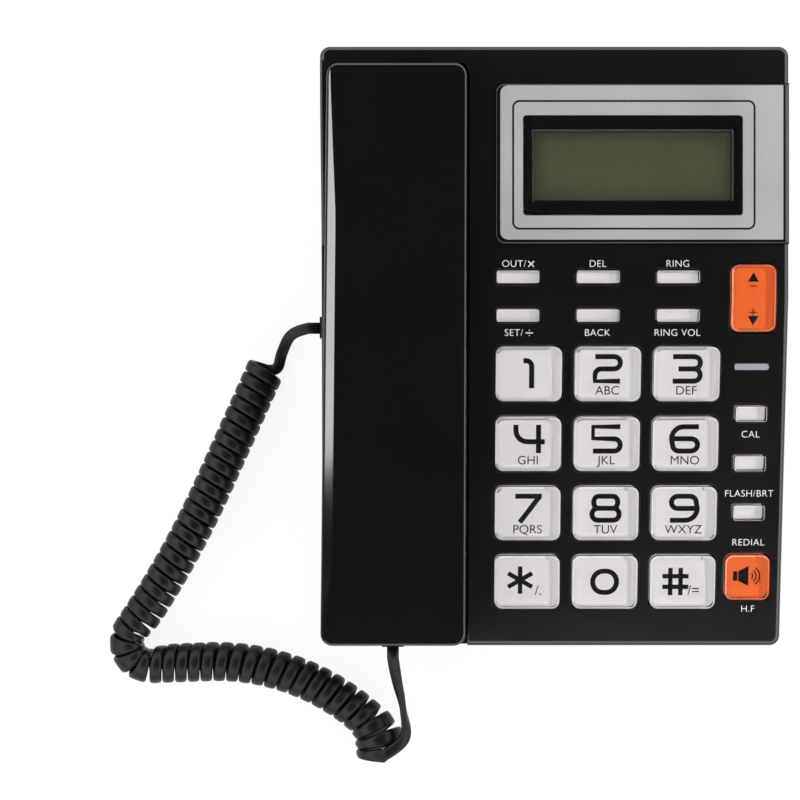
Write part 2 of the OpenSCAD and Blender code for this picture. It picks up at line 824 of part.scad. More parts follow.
module line_jack() {
    color([0.2, 0.2, 0.2]) translate([line_jack_x, half_d - wall, line_z + jack_wall + line_h / 2])
        rotate([90, 0, 0]) difference() {
            block(line_w + 2 * jack_wall, line_h + 2 * jack_wall, 0, line_block);
            block(line_w, line_h, -cut, line_depth);
        }
}

// Hook

module hook_plunger() {
    color([0.12, 0.12, 0.12]) on_deck(handset_x, plunger_v) {
        translate([0, 0, plunger_flange_n])
            cylinder(d = plunger_dia, h = -cup_drop - rest_gap - plunger_flange_n);
        translate([0, 0, plunger_flange_n - plunger_flange_t])
            cylinder(r = plunger_flange_r, h = plunger_flange_t);
        translate([0, 0, stem_end]) cylinder(r = stem_r, h = plunger_flange_n - stem_end);
    }
}

module hook_bracket() {
    color([0.8, 0.8, 0.78]) on_deck(handset_x, plunger_v) difference() {
        block(bracket_w, bracket_d, bracket_floor - bracket_t, pocket_under);
        block(bracket_w - 2 * bracket_t, bracket_d + cut, bracket_floor, pocket_under + cut);
        translate([0, 0, bracket_floor - bracket_t - cut])
            cylinder(r = stem_r + run_gap, h = bracket_t + 2 * cut);
    }
}

module hook_spring() {
    low = bracket_floor + spring_wire / 2 + fit_gap;
    high = plunger_flange_n - plunger_flange_t - spring_wire / 2 - fit_gap;
    count = spring_curls * 12;
    rings = [for (i = [0:count]) [
        [spring_r * cos(30 * i), spring_r * sin(30 * i), low + (high - low) * i / count],
        [0, 0, 1], spring_wire]];
    color([0.75, 0.75, 0.78]) on_deck(handset_x, plunger_v)
        skin([for (i = [0:count]) ring_points(rings, i, spring_wire)]);
}

module hook_switch() {
    stem_y = cradle_y + plunger_v * cos(cradle_slope) - stem_end * sin(cradle_slope);
    stem_z = deck_z + plunger_v * sin(cradle_slope) + stem_end * cos(cradle_slope);
    top = stem_z - stem_r * sin(cradle_slope) - rest_gap;
    color([0.15, 0.2, 0.5]) translate([handset_x, stem_y, 0]) {
        block(switch_w, switch_d, floor_z, top - 1);
        translate([0, 0, top - 1 - cut]) cylinder(r = switch_button_r, h = 1 + cut);
    }
}

// Handset

// Outline of the handset: straight ends and right side, left side narrowing towards the ear end.
// The corners keep their centres when the outline is drawn in.
module handset_outline(inset) {
    w = handset_w / 2;
    l = handset_l / 2;
    lean = atan(handset_taper / handset_l);
    left = [-cos(lean), sin(lean)];
    function left_x(v, r) = -w + handset_taper * (v + l) / handset_l + r / cos(lean);
    corners = [[[w - mouth_corner_r, mouth_corner_r - l], mouth_corner_r, [0, -1], [1, 0]],
        [[w - ear_corner_r, l - ear_corner_r], ear_corner_r, [1, 0], [0, 1]],
        [[left_x(l - ear_corner_r, ear_corner_r), l - ear_corner_r], ear_corner_r, [0, 1], left],
        [[left_x(mouth_corner_r - l, mouth_corner_r), mouth_corner_r - l], mouth_corner_r, left, [0, -1]]];
    polygon([for (c = corners) each [c[0] + (c[1] - inset) * c[2], c[0] + (c[1] - inset) * c[3]]]);
    for (c = corners) translate(c[0]) circle(c[1] - inset);
}

// Bar with an arched back and rounded long edges, turned about an axis far below
module arched_bar() {
    w = handset_w;
    r = back_edge_r;
    top = back_radius;
    angle = 2 * asin(handset_l / 2 / back_radius) + 2;
    translate([0, 0, back_h - back_radius]) rotate([0, -90, 0]) rotate(-angle / 2)
        rotate_extrude(angle = angle, $fn = 720) {
            translate([top - 2 * back_h, -w / 2]) square([2 * back_h - r, w]);
            translate([top - 2 * back_h, -w / 2 + r]) square([2 * back_h, w - 2 * r]);
            for (s = [-1, 1]) translate([top - r, s * (w / 2 - r)]) circle(r, $fn = 48);
        }
}

module shell_blank() {
    intersection() {
        arched_bar();
        translate([0, 0, shell_split]) linear_extrude(back_h) handset_outline(0);
    }
}

module shell_hollow() {
    intersection() {
        translate([0, 0, back_h - back_radius]) rotate([0, 90, 0])
            cylinder(r = back_radius - shell_wall, h = base_w, center = true, $fn = 720);
        translate([0, 0, shell_split - cut]) linear_extrude(back_h) handset_outline(shell_wall);
    }
}

module on_handset(v) {
    on_deck(handset_x, v) children();
}

module socket_cut() {
    on_handset(handset_v - handset_l / 2) translate([0, 0, socket_n]) rotate([-90, 0, 0])
        block(plug_w + 2 * fit_gap, plug_h + 2 * fit_gap, -cut, shell_wall + cut);
}

module handset_outer_shell() {
    color([0.08, 0.08, 0.08]) {
        difference() {
            on_handset(handset_v) difference() {
                shell_blank();
                shell_hollow();
            }
            socket_cut();
        }
        for (v = handset_screw_v) on_handset(v) difference() {
            translate([0, 0, shell_split])
                cylinder(r = handset_boss_r, h = back_h - back_arch / 2 - shell_split);
            translate([0, 0, shell_split - cut])
                cylinder(r = screw_shank_r + run_gap, h = handset_screw_l - 1 + cut);
        }
    }
}

module handset_inner_shell() {
    floor_n = handset_gap + shell_wall;
    color([0.08, 0.08, 0.08]) difference() {
        union() {
            difference() {
                on_handset(handset_v) translate([0, 0, handset_gap]) linear_extrude(shell_split - handset_gap)
                    handset_outline(0);
                on_handset(handset_v) translate([0, 0, floor_n]) linear_extrude(shell_split)
                    handset_outline(shell_wall);
            }
            for (v = [ear_v, mouth_v]) on_handset(v) slab(cup_w, cup_l, cup_r, -cup_drop, floor_n);
            for (v = handset_screw_v) on_handset(v) translate([0, 0, handset_gap])
                cylinder(r = handset_boss_r + 1, h = shell_split - handset_gap);
        }
        for (v = [ear_v, mouth_v]) on_handset(v)
            slab(cup_w - 2 * shell_wall, cup_l - 2 * shell_wall, cup_r - shell_wall,
                shell_wall - cup_drop, shell_split);
        on_handset(ear_v) for (ring = [0:1], i = [0:max(6 * ring - 1, 0)]) rotate(60 * i)
            translate([ring * 5, 0, -cup_drop - cut]) cylinder(r = 1, h = shell_wall + 2 * cut);
        on_handset(mouth_v) translate([0, 0, -cup_drop - cut]) cylinder(r = 1, h = shell_wall + 2 * cut);
        for (v = handset_screw_v) on_handset(v) {
            translate([0, 0, handset_gap - cut])
                cylinder(r = screw_head_r + rest_gap, h = screw_head_t + head_sink + cut);
            cylinder(r = screw_shank_r + rest_gap, h = shell_split + cut);
        }
    }
}

module receiver_capsule() {
    color([0.55, 0.55, 0.55]) on_handset(ear_v) translate([0, 0, shell_wall - cup_drop])
        cylinder(r = receiver_r, h = receiver_h);
}

module microphone_capsule() {
    color([0.6, 0.6, 0.6]) on_handset(mouth_v) translate([0, 0, shell_wall - cup_drop])
        cylinder(r = mic_r, h = mic_h);
}

module handset_weight() {
    color([0.4, 0.4, 0.42]) on_handset(weight_v)
        slab(weight_w, weight_l, 2, handset_gap + shell_wall, handset_gap + shell_wall + weight_h);
}

module handset_socket() {
    color([0.2, 0.2, 0.2]) on_handset(handset_v - handset_l / 2 + shell_wall) translate([0, 0, socket_n])
        rotate([-90, 0, 0]) difference() {
            block(plug_w + 2 * (fit_gap + jack_wall), plug_h + 2 * (fit_gap + jack_wall), 0, socket_l);
            block(plug_w + 2 * fit_gap, plug_h + 2 * fit_gap, -cut, plug_l);
        }
}

module handset_screws() {
    color([0.7, 0.7, 0.72]) for (v = handset_screw_v) on_handset(v)
        translate([0, 0, handset_gap + screw_head_t + head_sink]) board_screw(handset_screw_l);
}

// Curly cord

// Place of the curls' axis at a distance s along a stretch: point and heading
function run_start(k) =
    k == 0 ? [coil_start[0], coil_start[1], coil_heading] : run_at(k - 1, coil_runs[k - 1][0]);
function run_at(k, s) =
    let (a = run_start(k), turn = coil_runs[k][1], l = coil_runs[k][0], h = a[2] + turn * s / l)
    turn == 0 ? [a[0] + s * cos(h), a[1] + s * sin(h), h]
    : let (r = l / (turn * PI / 180))
        [a[0] + r * (sin(h) - sin(a[2])), a[1] - r * (cos(h) - cos(a[2])), h];
run_lengths = [for (run = coil_runs) run[0]];
run_ends = [for (k = [0:len(coil_runs) - 1]) sum_to(run_lengths, k + 1)];
coil_length = run_ends[len(run_ends) - 1];
function run_of(s, k = 0) = k == len(run_ends) - 1 || s <= run_ends[k] ? k : run_of(s, k + 1);
ring_places = [for (s = 0; s < coil_length; s = s + coil_runs[run_of(s)][2] / rings_per_curl) s];
whole_curls = floor((len(ring_places) - 1) / rings_per_curl - 0.5) + 0.5;

// Reach of the curls towards the inside of the fold, where they lie flattened against each other
fold = coil_runs[fold_run];
fold_end = run_ends[fold_run];
fold_reach = (1 - fold_room / fold[2]) * fold[0] / abs(fold[1] * PI / 180);
function inner_reach(s) = fold_reach + max(fold_end - fold[0] - s, s - fold_end, 0) / 2;

// A ring of the cord: place, direction of its width, width
function curl_place(i) =
    let (s = ring_places[i], k = run_of(s), p = run_at(k, s - run_ends[k] + run_lengths[k]),
        a = 90 + 360 * i / rings_per_curl, side = direction(p[2] - 90))
    [p[0], p[1], coil_z] + min(coil_r * cos(a), inner_reach(s)) * side + [0, 0, coil_r * sin(a)];
last = whole_curls * rings_per_curl;
curl_places = [for (i = [0:last]) curl_place(i)];
function curl_room(i) = min(
    i < rings_per_curl ? cord_w + curl_gap : norm(curl_places[i] - curl_places[i - rings_per_curl]),
    i > last - rings_per_curl ? cord_w + curl_gap : norm(curl_places[i] - curl_places[i + rings_per_curl]));
curl_rings = [for (i = [0:last]) let (s = ring_places[i], k = run_of(s))
    [curl_places[i], direction(run_at(k, s - run_ends[k] + run_lengths[k])[2]),
        min(cord_w, curl_room(i) - curl_gap)]];

// Smooth curve through hand-chosen points
function curve_point(p0, p1, p2, p3, t) =
    0.5 * (2 * p1 + (p2 - p0) * t + (2 * p0 - 5 * p1 + 4 * p2 - p3) * t * t
        + (3 * p1 - p0 - 3 * p2 + p3) * t * t * t);
function curve(p, steps) = [for (k = [1:len(p) - 3], j = [0:steps - 1])
    curve_point(p[k - 1], p[k], p[k + 1], p[k + 2], j / steps)];

deck_run = [0, -cos(cradle_slope), -sin(cradle_slope)];
deck_up = [0, -sin(cradle_slope), cos(cradle_slope)];
plug_end_v = handset_v - handset_l / 2 - plug_show;
handset_end = [handset_x, cradle_y, deck_z] - plug_end_v * deck_run + socket_n * deck_up;
base_end = [-half_w - plug_show, base_jack_y, base_jack_z];
handset_curve = curve(concat([handset_end, handset_end + cord_w * deck_run], handset_tail_points,
    [curl_places[0], curl_places[1]]), tail_steps);
base_curve = curve(concat([curl_places[last - 1], curl_places[last]], base_tail_points,
    [base_end - [cord_w, 0, 0], base_end]), tail_steps);
handset_tail_rings = [for (p = concat([handset_end], handset_curve)) [p, curl_rings[0][1], cord_w]];
base_tail_rings = [for (p = concat(base_curve, [base_end - [cord_w, 0, 0], base_end]))
    [p, curl_rings[last][1], cord_w]];
all_rings = concat(handset_tail_rings, curl_rings,
    [for (i = [1:len(base_tail_rings) - 1]) base_tail_rings[i]]);
first_curl = len(handset_tail_rings);
last_curl = first_curl + last;

// Six-sided flat section at a ring: width along the reference direction, square to the path.
// Where it is crowded the cord stands on edge: it gets thicker as its width gets less.
function ring_points(rings, i, t) =
    let (p = rings[i][0], w = rings[i][2],
        along = unit(rings[min(i + 1, len(rings) - 1)][0] - rings[max(i - 1, 0)][0]),
        wide = unit(rings[i][1] - (rings[i][1] * along) * along), thick = cross(along, wide))
    [for (q = [[0.5, 0], [0.25, 0.5], [-0.25, 0.5], [-0.5, 0], [-0.25, -0.5], [0.25, -0.5]])
        p + q[0] * w * wide + q[1] * t * thick];
function edge_t(i) = cord_t * min(edge_swell, cord_w / all_rings[i][2]);

module skin(sections) {
    n = len(sections);
    sides = [for (i = [0:n - 2], j = [0:5]) let (a = 6 * i + j, b = 6 * i + (j + 1) % 6) each [
        [a, b, b + 6], [a, b + 6, a + 6]]];
    caps = [for (j = [1:4]) each [[0, j + 1, j], [6 * (n - 1), 6 * (n - 1) + j, 6 * (n - 1) + j + 1]]];
    polyhedron(points = [for (s = sections) each s], faces = concat(sides, caps));
}

module cord_part(from, to) {
    color([0.08, 0.08, 0.08]) skin([for (i = [from:to]) ring_points(all_rings, i, edge_t(i))]);
}

// Least gap between a ring's corners and those of the neighbouring curls
function least_gap() =
    let (corners = [for (i = [first_curl:last_curl]) ring_points(all_rings, i, edge_t(i))])
    min([for (i = [0:last - 4], k = [i + 4:min(i + 6 * rings_per_curl, last)])
        min([for (p = corners[i], q = corners[k]) norm(p - q)])]);

module curly_cord() {
    echo(curls = whole_curls, least_gap = least_gap());
    cord_part(first_curl, last_curl);
}

module cord_tail_handset() { cord_part(0, first_curl); }

module cord_tail_base() { cord_part(last_curl, len(all_rings) - 1); }

module plug_handset() {
    color([0.85, 0.87, 0.9]) on_handset(plug_end_v) translate([0, 0, socket_n]) rotate([-90, 0, 0])
        block(plug_w, plug_h, 0, plug_show + shell_wall + plug_l - fit_gap);
}

module plug_base() {
    color([0.85, 0.87, 0.9]) translate([base_end[0], base_end[1], base_end[2]]) rotate([0, 90, 0])
        block(plug_h, plug_w, 0, plug_show + wall + plug_l - fit_gap);
}

for (i = [0:11]) digit_key(i);
for (i = [0:5]) function_key(i);
for (i = [0:2]) side_key(i);
key_handsfree();
volume_rocker();
top_cover();
bottom_cover();
rubber_feet();
base_screws();
display_plate();
display_window();
lcd_panel();
lcd_holder();
key_mat();
keypad_board();
main_board();
board_screws();
indicator_lens();
indicator_led();
loudspeaker();
handsfree_microphone();
base_jack();
line_jack();
hook_plunger();
hook_spring();
hook_bracket();
hook_switch();
handset_outer_shell();
handset_inner_shell();
receiver_capsule();
microphone_capsule();
handset_weight();
handset_socket();
handset_screws();
cord_tail_handset();
curly_cord();
cord_tail_base();
plug_handset();
plug_base();
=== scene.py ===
import math

import bmesh
import bpy
from mathutils import Matrix, Vector


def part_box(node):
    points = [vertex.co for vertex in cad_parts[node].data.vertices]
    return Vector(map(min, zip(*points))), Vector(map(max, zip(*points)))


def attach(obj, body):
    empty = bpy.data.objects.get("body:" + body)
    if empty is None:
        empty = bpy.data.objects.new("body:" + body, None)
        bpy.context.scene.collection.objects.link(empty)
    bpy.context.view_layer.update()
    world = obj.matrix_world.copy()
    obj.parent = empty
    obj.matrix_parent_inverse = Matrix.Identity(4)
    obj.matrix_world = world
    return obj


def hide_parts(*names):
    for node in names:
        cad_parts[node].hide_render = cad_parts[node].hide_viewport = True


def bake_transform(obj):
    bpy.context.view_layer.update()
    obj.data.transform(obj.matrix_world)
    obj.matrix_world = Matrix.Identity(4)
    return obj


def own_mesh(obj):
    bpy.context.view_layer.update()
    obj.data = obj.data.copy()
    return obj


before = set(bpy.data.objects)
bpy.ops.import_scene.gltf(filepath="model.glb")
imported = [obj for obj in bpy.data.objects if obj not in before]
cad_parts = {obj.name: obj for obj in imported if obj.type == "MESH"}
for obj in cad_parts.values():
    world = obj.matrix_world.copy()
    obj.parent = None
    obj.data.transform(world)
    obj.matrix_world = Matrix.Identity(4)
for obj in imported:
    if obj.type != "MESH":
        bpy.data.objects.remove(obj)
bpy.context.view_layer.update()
mm = 0.001

# The base's top cover: one black ABS moulding whose face bends in a crease between a display part and
# a keypad part. Its left side is cut down to a sloping deck with two pockets for the handset's cups.
# The moulded gloss mirrors the studio softly, and every outer edge has the small radius of its mould.
display_tilt, keypad_tilt, deck_tilt = math.radians(3), math.radians(10), math.radians(7)
base_low, base_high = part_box("bottom_cover")
rear_height, display_depth = 50 * mm, 87 * mm
crease = Vector((0, base_high.y - display_depth, rear_height - display_depth * math.tan(display_tilt)))
display_plane = Matrix.Translation(crease) @ Matrix.Rotation(display_tilt, 4, "X")
keypad_plane = Matrix.Translation(crease) @ Matrix.Rotation(keypad_tilt, 4, "X")
cradle_strip, cradle_depth = 5 * mm, 9 * mm
strip_front = base_high.y - cradle_strip
deck_rear = rear_height - cradle_strip * math.tan(display_tilt) - cradle_depth
deck = Matrix.Translation((0, strip_front, deck_rear)) @ Matrix.Rotation(deck_tilt, 4, "X")
outer_radius, rim_radius, hole_radius, parting_radius = 1.8 * mm, 0.4 * mm, 0.25 * mm, 0.25 * mm
outside, face_slack, pad_step, pad_radius = 1.1 * mm, 1 * mm, 0.3 * mm, 0.7 * mm
drift_size, gloss_drift = 40 * mm, 0.15
upward, downward, hair = 0.9, -0.9, 0.01 * mm
weld_gap, flat_angle, edge_angle, shade_angle = 0.02 * mm, *(math.radians(a) for a in (0.5, 30, 35))


def linear(code):
    """An sRGB hex colour as the linear colour that a shader takes."""
    parts = [int(code[i:i + 2], 16) / 255 for i in (1, 3, 5)]
    return [c / 12.92 if c <= 0.04045 else ((c + 0.055) / 1.055) ** 2.4 for c in parts] + [1]


def add_node(tree, kind, inputs, **settings):
    """A shader node with its settings, and its inputs set to values or linked to other nodes' sockets."""
    node = tree.nodes.new(kind)
    for name, value in settings.items():
        setattr(node, name, value)
    for name, value in inputs.items():
        if isinstance(value, bpy.types.NodeSocket):
            tree.links.new(value, node.inputs[name])
        else:
            node.inputs[name].default_value = value
    return node


def finish(name, code, roughness, grain, depth, drift=0.1, **sockets):
    """A material with a grain of a size and depth in millimetres as bump, and a slow drift of tone and gloss.

    Moulded and plated grain is finer than this in life, and is drawn as coarse as it needs to show.
    """
    material = bpy.data.materials.new(name)
    material.use_nodes = True
    tree = material.node_tree
    surface = tree.nodes["Principled BSDF"]
    for socket, value in sockets.items():
        surface.inputs[socket.replace("_", " ")].default_value = value
    place = add_node(tree, "ShaderNodeTexCoord", {}).outputs["Object"]
    fine = add_node(tree, "ShaderNodeTexNoise", {"Vector": place, "Scale": 1 / (grain * mm), "Detail": 3.0})
    bump = add_node(tree, "ShaderNodeBump", {
        "Height": fine.outputs["Fac"], "Distance": depth * mm, "Strength": 0.6})
    tree.links.new(bump.outputs["Normal"], surface.inputs["Normal"])
    slow = add_node(tree, "ShaderNodeTexNoise", {"Vector": place, "Scale": 1 / drift_size, "Detail": 4.0})
    pale = linear(code)
    deep = [c * (1 - drift) for c in pale[:3]] + [1]
    tone = add_node(tree, "ShaderNodeMix", {0: slow.outputs["Fac"], 6: deep, 7: pale}, data_type="RGBA")
    tree.links.new(tone.outputs[2], surface.inputs["Base Color"])
    gloss = add_node(tree, "ShaderNodeMapRange", {
        "Value": slow.outputs["Fac"], "From Min": 0.3, "From Max": 0.7,
        "To Min": roughness * (1 - gloss_drift), "To Max": roughness * (1 + gloss_drift)})
    tree.links.new(gloss.outputs["Result"], surface.inputs["Roughness"])
    return material


def box_round(points):
    """The middle and the size of the box round points."""
    low, high = (Vector([pick(p[i] for p in points) for i in range(3)]) for pick in (min, max))
    return (low + high) / 2, high - low


def local_box(node, plane):
    """The middle and the size of a CAD node, measured along a sloping plane."""
    return box_round([plane.inverted() @ vert.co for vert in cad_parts[node].data.vertices])


def welded(node):
    """A copy of a CAD node's mesh with its loose triangles joined into whole flat faces."""
    bm = bmesh.new()
    bm.from_mesh(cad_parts[node].data)
    bmesh.ops.remove_doubles(bm, verts=bm.verts, dist=weld_gap)
    bmesh.ops.dissolve_limit(bm, angle_limit=flat_angle, verts=bm.verts, edges=bm.edges)
    return bm


def bevel(bm, edges, radius, segments, **settings):
    """Rounds edges with a true radius."""
    bmesh.ops.bevel(bm, geom=edges, offset=radius, segments=segments, profile=0.5, affect="EDGES",
                    material=-1, **settings)


def round_edges(bm, radius, segments, facing, where=lambda point: True):
    """Rounds the sharp outer edges of faces that look up or down, where a test of their middles holds."""
    bm.normal_update()
    picked = []
    for edge in bm.edges:
        if edge.is_manifold and edge.calc_face_angle_signed(0) > edge_angle:
            slopes = [face.normal.z for face in edge.link_faces]
            looks = max(slopes) > facing if facing > 0 else min(slopes) < facing
            if looks and where((edge.verts[0].co + edge.verts[1].co) / 2):
                picked.append(edge)
    bevel(bm, picked, radius, segments, clamp_overlap=False, loop_slide=False)


def add_object(name, data):
    """A new object at the origin."""
    thing = bpy.data.objects.new(name, data)
    bpy.context.scene.collection.objects.link(thing)
    return thing


def mesh_object(name, bm, material):
    """A finished mesh as an object with a material."""
    mesh = bpy.data.meshes.new(name)
    bm.to_mesh(mesh)
    bm.free()
    mesh.materials.append(material)
    return add_object(name, mesh)


def new_piece(name, bm, material, body, slot, *nodes, place=Matrix()):
    """A finished mesh, put in its place, as a piece that rides on a body and stands for CAD nodes."""
    bmesh.ops.transform(bm, matrix=place, verts=bm.verts)
    bmesh.ops.recalc_face_normals(bm, faces=bm.faces)
    piece = mesh_object(name, bm, material)
    piece.data.shade_smooth()
    piece.data.set_sharp_from_angle(angle=shade_angle)
    flats = piece.modifiers.new("flats", "WEIGHTED_NORMAL")
    flats.keep_sharp = True
    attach(piece, body)
    if nodes:
        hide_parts(*nodes)
    return piece


def at_outside(point):
    """True on the base's outer walls."""
    return abs(point.x) > base_high.x - outside or abs(point.y) > base_high.y - outside


black_abs = finish("black moulded ABS", "#0a0a0a", 0.2, 0.35, 0.003, IOR=1.53)
hole_boxes = [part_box(node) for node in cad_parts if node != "key_mat"
              and (node.startswith("key_") or node in ("volume_rocker", "indicator_lens"))]
plate_middle, plate_size = local_box("display_plate", display_plane)


def on_hole_rim(point):
    return any(low.x < point.x < high.x and low.y < point.y < high.y for low, high in hole_boxes)


def under_plate(point):
    local = display_plane.inverted() @ point - plate_middle
    return abs(local.x) < plate_size.x / 2 and abs(local.y) < plate_size.y / 2


def on_face(point):
    """True on the display part or the keypad part of the face, and not down on the deck."""
    return max((plane.inverted() @ point).z for plane in (display_plane, keypad_plane)) > -face_slack


def on_pad(point):
    """True on the edge of the raised pad that carries the display plate."""
    return (display_plane.inverted() @ point).z > pad_step and not under_plate(point)


top_cover = welded("top_cover")
round_edges(top_cover, hole_radius, 4, upward, on_hole_rim)
round_edges(top_cover, parting_radius, 4, downward, at_outside)
round_edges(top_cover, outer_radius, 6, upward, lambda point: at_outside(point) and on_face(point))
round_edges(top_cover, pad_radius, 5, upward, on_pad)
round_edges(top_cover, rim_radius, 4, upward, lambda point: not (on_hole_rim(point) or under_plate(point)))
new_piece("top_cover_moulding", top_cover, black_abs, "base", "base_plastic", "top_cover")

# The cradle's left lip: a thin wall of the same moulding beside the handset's ear end, which sweeps down
# from the face to the deck as the handset widens. Both rear corners of the cradle are rounded out in it.
lip_length, lip_rear_width, lip_front_width, lip_foot = 62 * mm, 2.2 * mm, 1.2 * mm, 1 * mm
lip_cuts, lip_overlap, lip_radius, lip_inner_radius = 14, 0.1 * mm, 0.9 * mm, 0.2 * mm
lip_inset, lip_slope, lip_edge = 0.02 * mm, 0.7, 0.1 * mm
cradle_right, corner_reach, corner_slack = -29.4 * mm, 5.2 * mm, 1.02
corner_lap, corner_steps = 0.5 * mm, 10


def smooth_step(value, start, end):
    share = min(1, max(0, (value - start) / (end - start)))
    return share * share * (3 - 2 * share)


def cut_across(bm, point, normal):
    """Cuts a mesh along a plane and keeps both sides."""
    bmesh.ops.bisect_plane(bm, geom=bm.verts[:] + bm.edges[:] + bm.faces[:], plane_co=point, plane_no=normal)


def join_in(bm, other):
    """Adds another mesh in the making to this one."""
    mesh = bpy.data.meshes.new("joined")
    other.to_mesh(mesh)
    other.free()
    bm.from_mesh(mesh)
    bpy.data.meshes.remove(mesh)


def add_wall(bm, ring, next_ring):
    """Adds the faces between two closed rings of vertices."""
    for corners in zip(ring, ring[1:] + ring[:1], next_ring[1:] + next_ring[:1], next_ring):
        bm.faces.new(corners)


def deck_level(y):
    return deck_rear - (strip_front - y) * math.tan(deck_tilt)


def face_level(y):
    return crease.z + (y - crease.y) * math.tan(display_tilt)


lip = bmesh.new()
bmesh.ops.create_cube(lip, size=1)
for cut in range(1, lip_cuts):
    cut_across(lip, (0, cut / lip_cuts - 0.5, 0), (0, 1, 0))
for vert in lip.verts:
    share = 0.5 - vert.co.y
    y = strip_front + lip_overlap - share * lip_length
    rise = lip_foot + (face_level(y) - deck_level(y) - lip_foot) * (1 - smooth_step(share, 0, 1))
    width = lip_rear_width + (lip_front_width - lip_rear_width) * share
    vert.co = (base_low.x + lip_inset + (vert.co.x + 0.5) * width, y,
               deck_level(y) - lip_overlap + (vert.co.z + 0.5) * (rise + lip_overlap))
round_edges(lip, lip_radius, 4, lip_slope, lambda point: point.x < base_low.x + lip_edge)
round_edges(lip, lip_inner_radius, 3, lip_slope)
for side, wall_x in ((-1, base_low.x + lip_rear_width), (1, cradle_right)):
    middle = Vector((wall_x - side * corner_reach, strip_front - corner_reach))
    turns = [math.pi / 2 * i / corner_steps for i in range(corner_steps + 1)]
    plan = [middle + corner_reach * Vector((side * math.cos(a), math.sin(a))) for a in turns]
    plan += [Vector((middle.x, strip_front + corner_lap)),
             Vector((wall_x + side * corner_lap, strip_front + corner_lap)),
             Vector((wall_x + side * corner_lap, middle.y))]
    fillet = bmesh.new()
    foot = [fillet.verts.new((p.x, p.y, deck_level(p.y) - lip_overlap)) for p in plan]
    crown = [fillet.verts.new((p.x, p.y, face_level(p.y) + hair)) for p in plan]
    fillet.faces.new(foot)
    fillet.faces.new(crown)
    add_wall(fillet, foot, crown)
    bmesh.ops.recalc_face_normals(fillet, faces=fillet.faces)
    round_edges(fillet, lip_inner_radius, 3, upward,
                lambda point: (point.xy - middle).length < corner_slack * corner_reach)
    join_in(lip, fillet)
new_piece("cradle_left_lip", lip, black_abs, "base", "base_plastic")

# The bottom cover: a shallow black ABS tray, closed onto the top cover by five screws from underneath. Its
# spark-eroded grain takes the shine off. The loudspeaker's holes and the feet's recesses are in its floor.
tray_abs = finish("black textured ABS", "#121212", 0.5, 0.5, 0.02, IOR=1.53)
tray_radius = 1 * mm
tray = welded("bottom_cover")
round_edges(tray, parting_radius, 4, upward, at_outside)
round_edges(tray, tray_radius, 5, downward, at_outside)
round_edges(tray, hole_radius, 4, downward, lambda point: point.z < base_low.z + hair)
new_piece("bottom_cover_moulding", tray, tray_abs, "base", "base_plastic", "bottom_cover")

# The rubber feet: four soft discs of black nitrile rubber, dull and a little grainy. Each is pressed into its
# recess in the bottom cover, and they keep the telephone from sliding.
foot_radius = 0.5 * mm
foot_rubber = finish("black nitrile rubber", "#1b1b1b", 0.75, 0.3, 0.02, IOR=1.52)
feet = welded("rubber_feet")
round_edges(feet, foot_radius, 4, downward)
new_piece("rubber_foot_pads", feet, foot_rubber, "base", "foot_rubber", "rubber_feet")

# The base's screws: five of zinc-plated steel with a cross recess, bright against the black. They are sunk in
# the bottom cover and hold it to the top cover's bosses.
zinc = finish("zinc-plated steel", "#b8b8b2", 0.32, 0.15, 0.004, Metallic=1.0)
cross_long, cross_narrow, cross_deep, head_rounding, shank_taper = 0.62, 0.16, 0.55, 0.3, 0.7
base_screw, apart = (2.75 * mm, 2 * mm, 1.4 * mm, 14 * mm), 6.5 * mm
upside_down = Matrix.Rotation(math.pi, 4, "X")


def add_rod(bm, segments, foot, top, length, place):
    """Adds a rod or a cone along Z, round the middle of its place."""
    bmesh.ops.create_cone(bm, cap_ends=True, segments=segments, radius1=foot, radius2=top, depth=length,
                          matrix=place)


def cross_screw(place, head_radius, head_height, shank_radius, length):
    """A screw along +Z of its place, from its head's cross-recessed top at zero down to the shank's end."""
    bm = bmesh.new()
    add_rod(bm, 32, head_radius, head_radius, head_height, Matrix.Translation((0, 0, -head_height / 2)))
    rim = [e for e in bm.edges if min(v.co.z for v in e.verts) > -head_height / 2]
    bevel(bm, rim, head_height * head_rounding, 4)
    long, narrow = head_radius * cross_long, head_radius * cross_narrow

    def top_faces():
        return [face for face in bm.faces if min(v.co.z for v in face.verts) > -hair]

    for axis in (Vector((1, 0, 0)), Vector((0, 1, 0))):
        for offset in (-long, -narrow, narrow, long):
            flat = top_faces()
            around = {e for f in flat for e in f.edges} | {v for f in flat for v in f.verts}
            bmesh.ops.bisect_plane(bm, geom=flat + list(around), plane_co=axis * offset, plane_no=axis)
    cross = []
    for face in top_faces():
        x, y = (abs(c) for c in face.calc_center_median()[:2])
        if max(x, y) < long and min(x, y) < narrow:
            cross.append(face)
    sunk = bmesh.ops.extrude_face_region(bm, geom=cross)
    floor_verts = [v for v in sunk["geom"] if isinstance(v, bmesh.types.BMVert)]
    bmesh.ops.translate(bm, vec=(0, 0, -head_height * cross_deep), verts=floor_verts)
    bmesh.ops.delete(bm, geom=cross, context="FACES")
    add_rod(bm, 24, shank_radius * shank_taper, shank_radius, length,
            Matrix.Translation((0, 0, -head_height - length / 2)))
    bmesh.ops.transform(bm, matrix=place, verts=bm.verts)
    return bm


def gathered(points):
    """Groups of points that lie close together in plan."""
    groups = []
    while points:
        groups.append([point for point in points if (point.xy - points[0].xy).length < apart])
        points = [point for point in points if point not in groups[-1]]
    return groups


def middles_of(node):
    """The middle of each separate screw of a CAD node."""
    groups = gathered([vert.co.copy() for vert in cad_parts[node].data.vertices])
    return [box_round(group)[0] for group in groups]


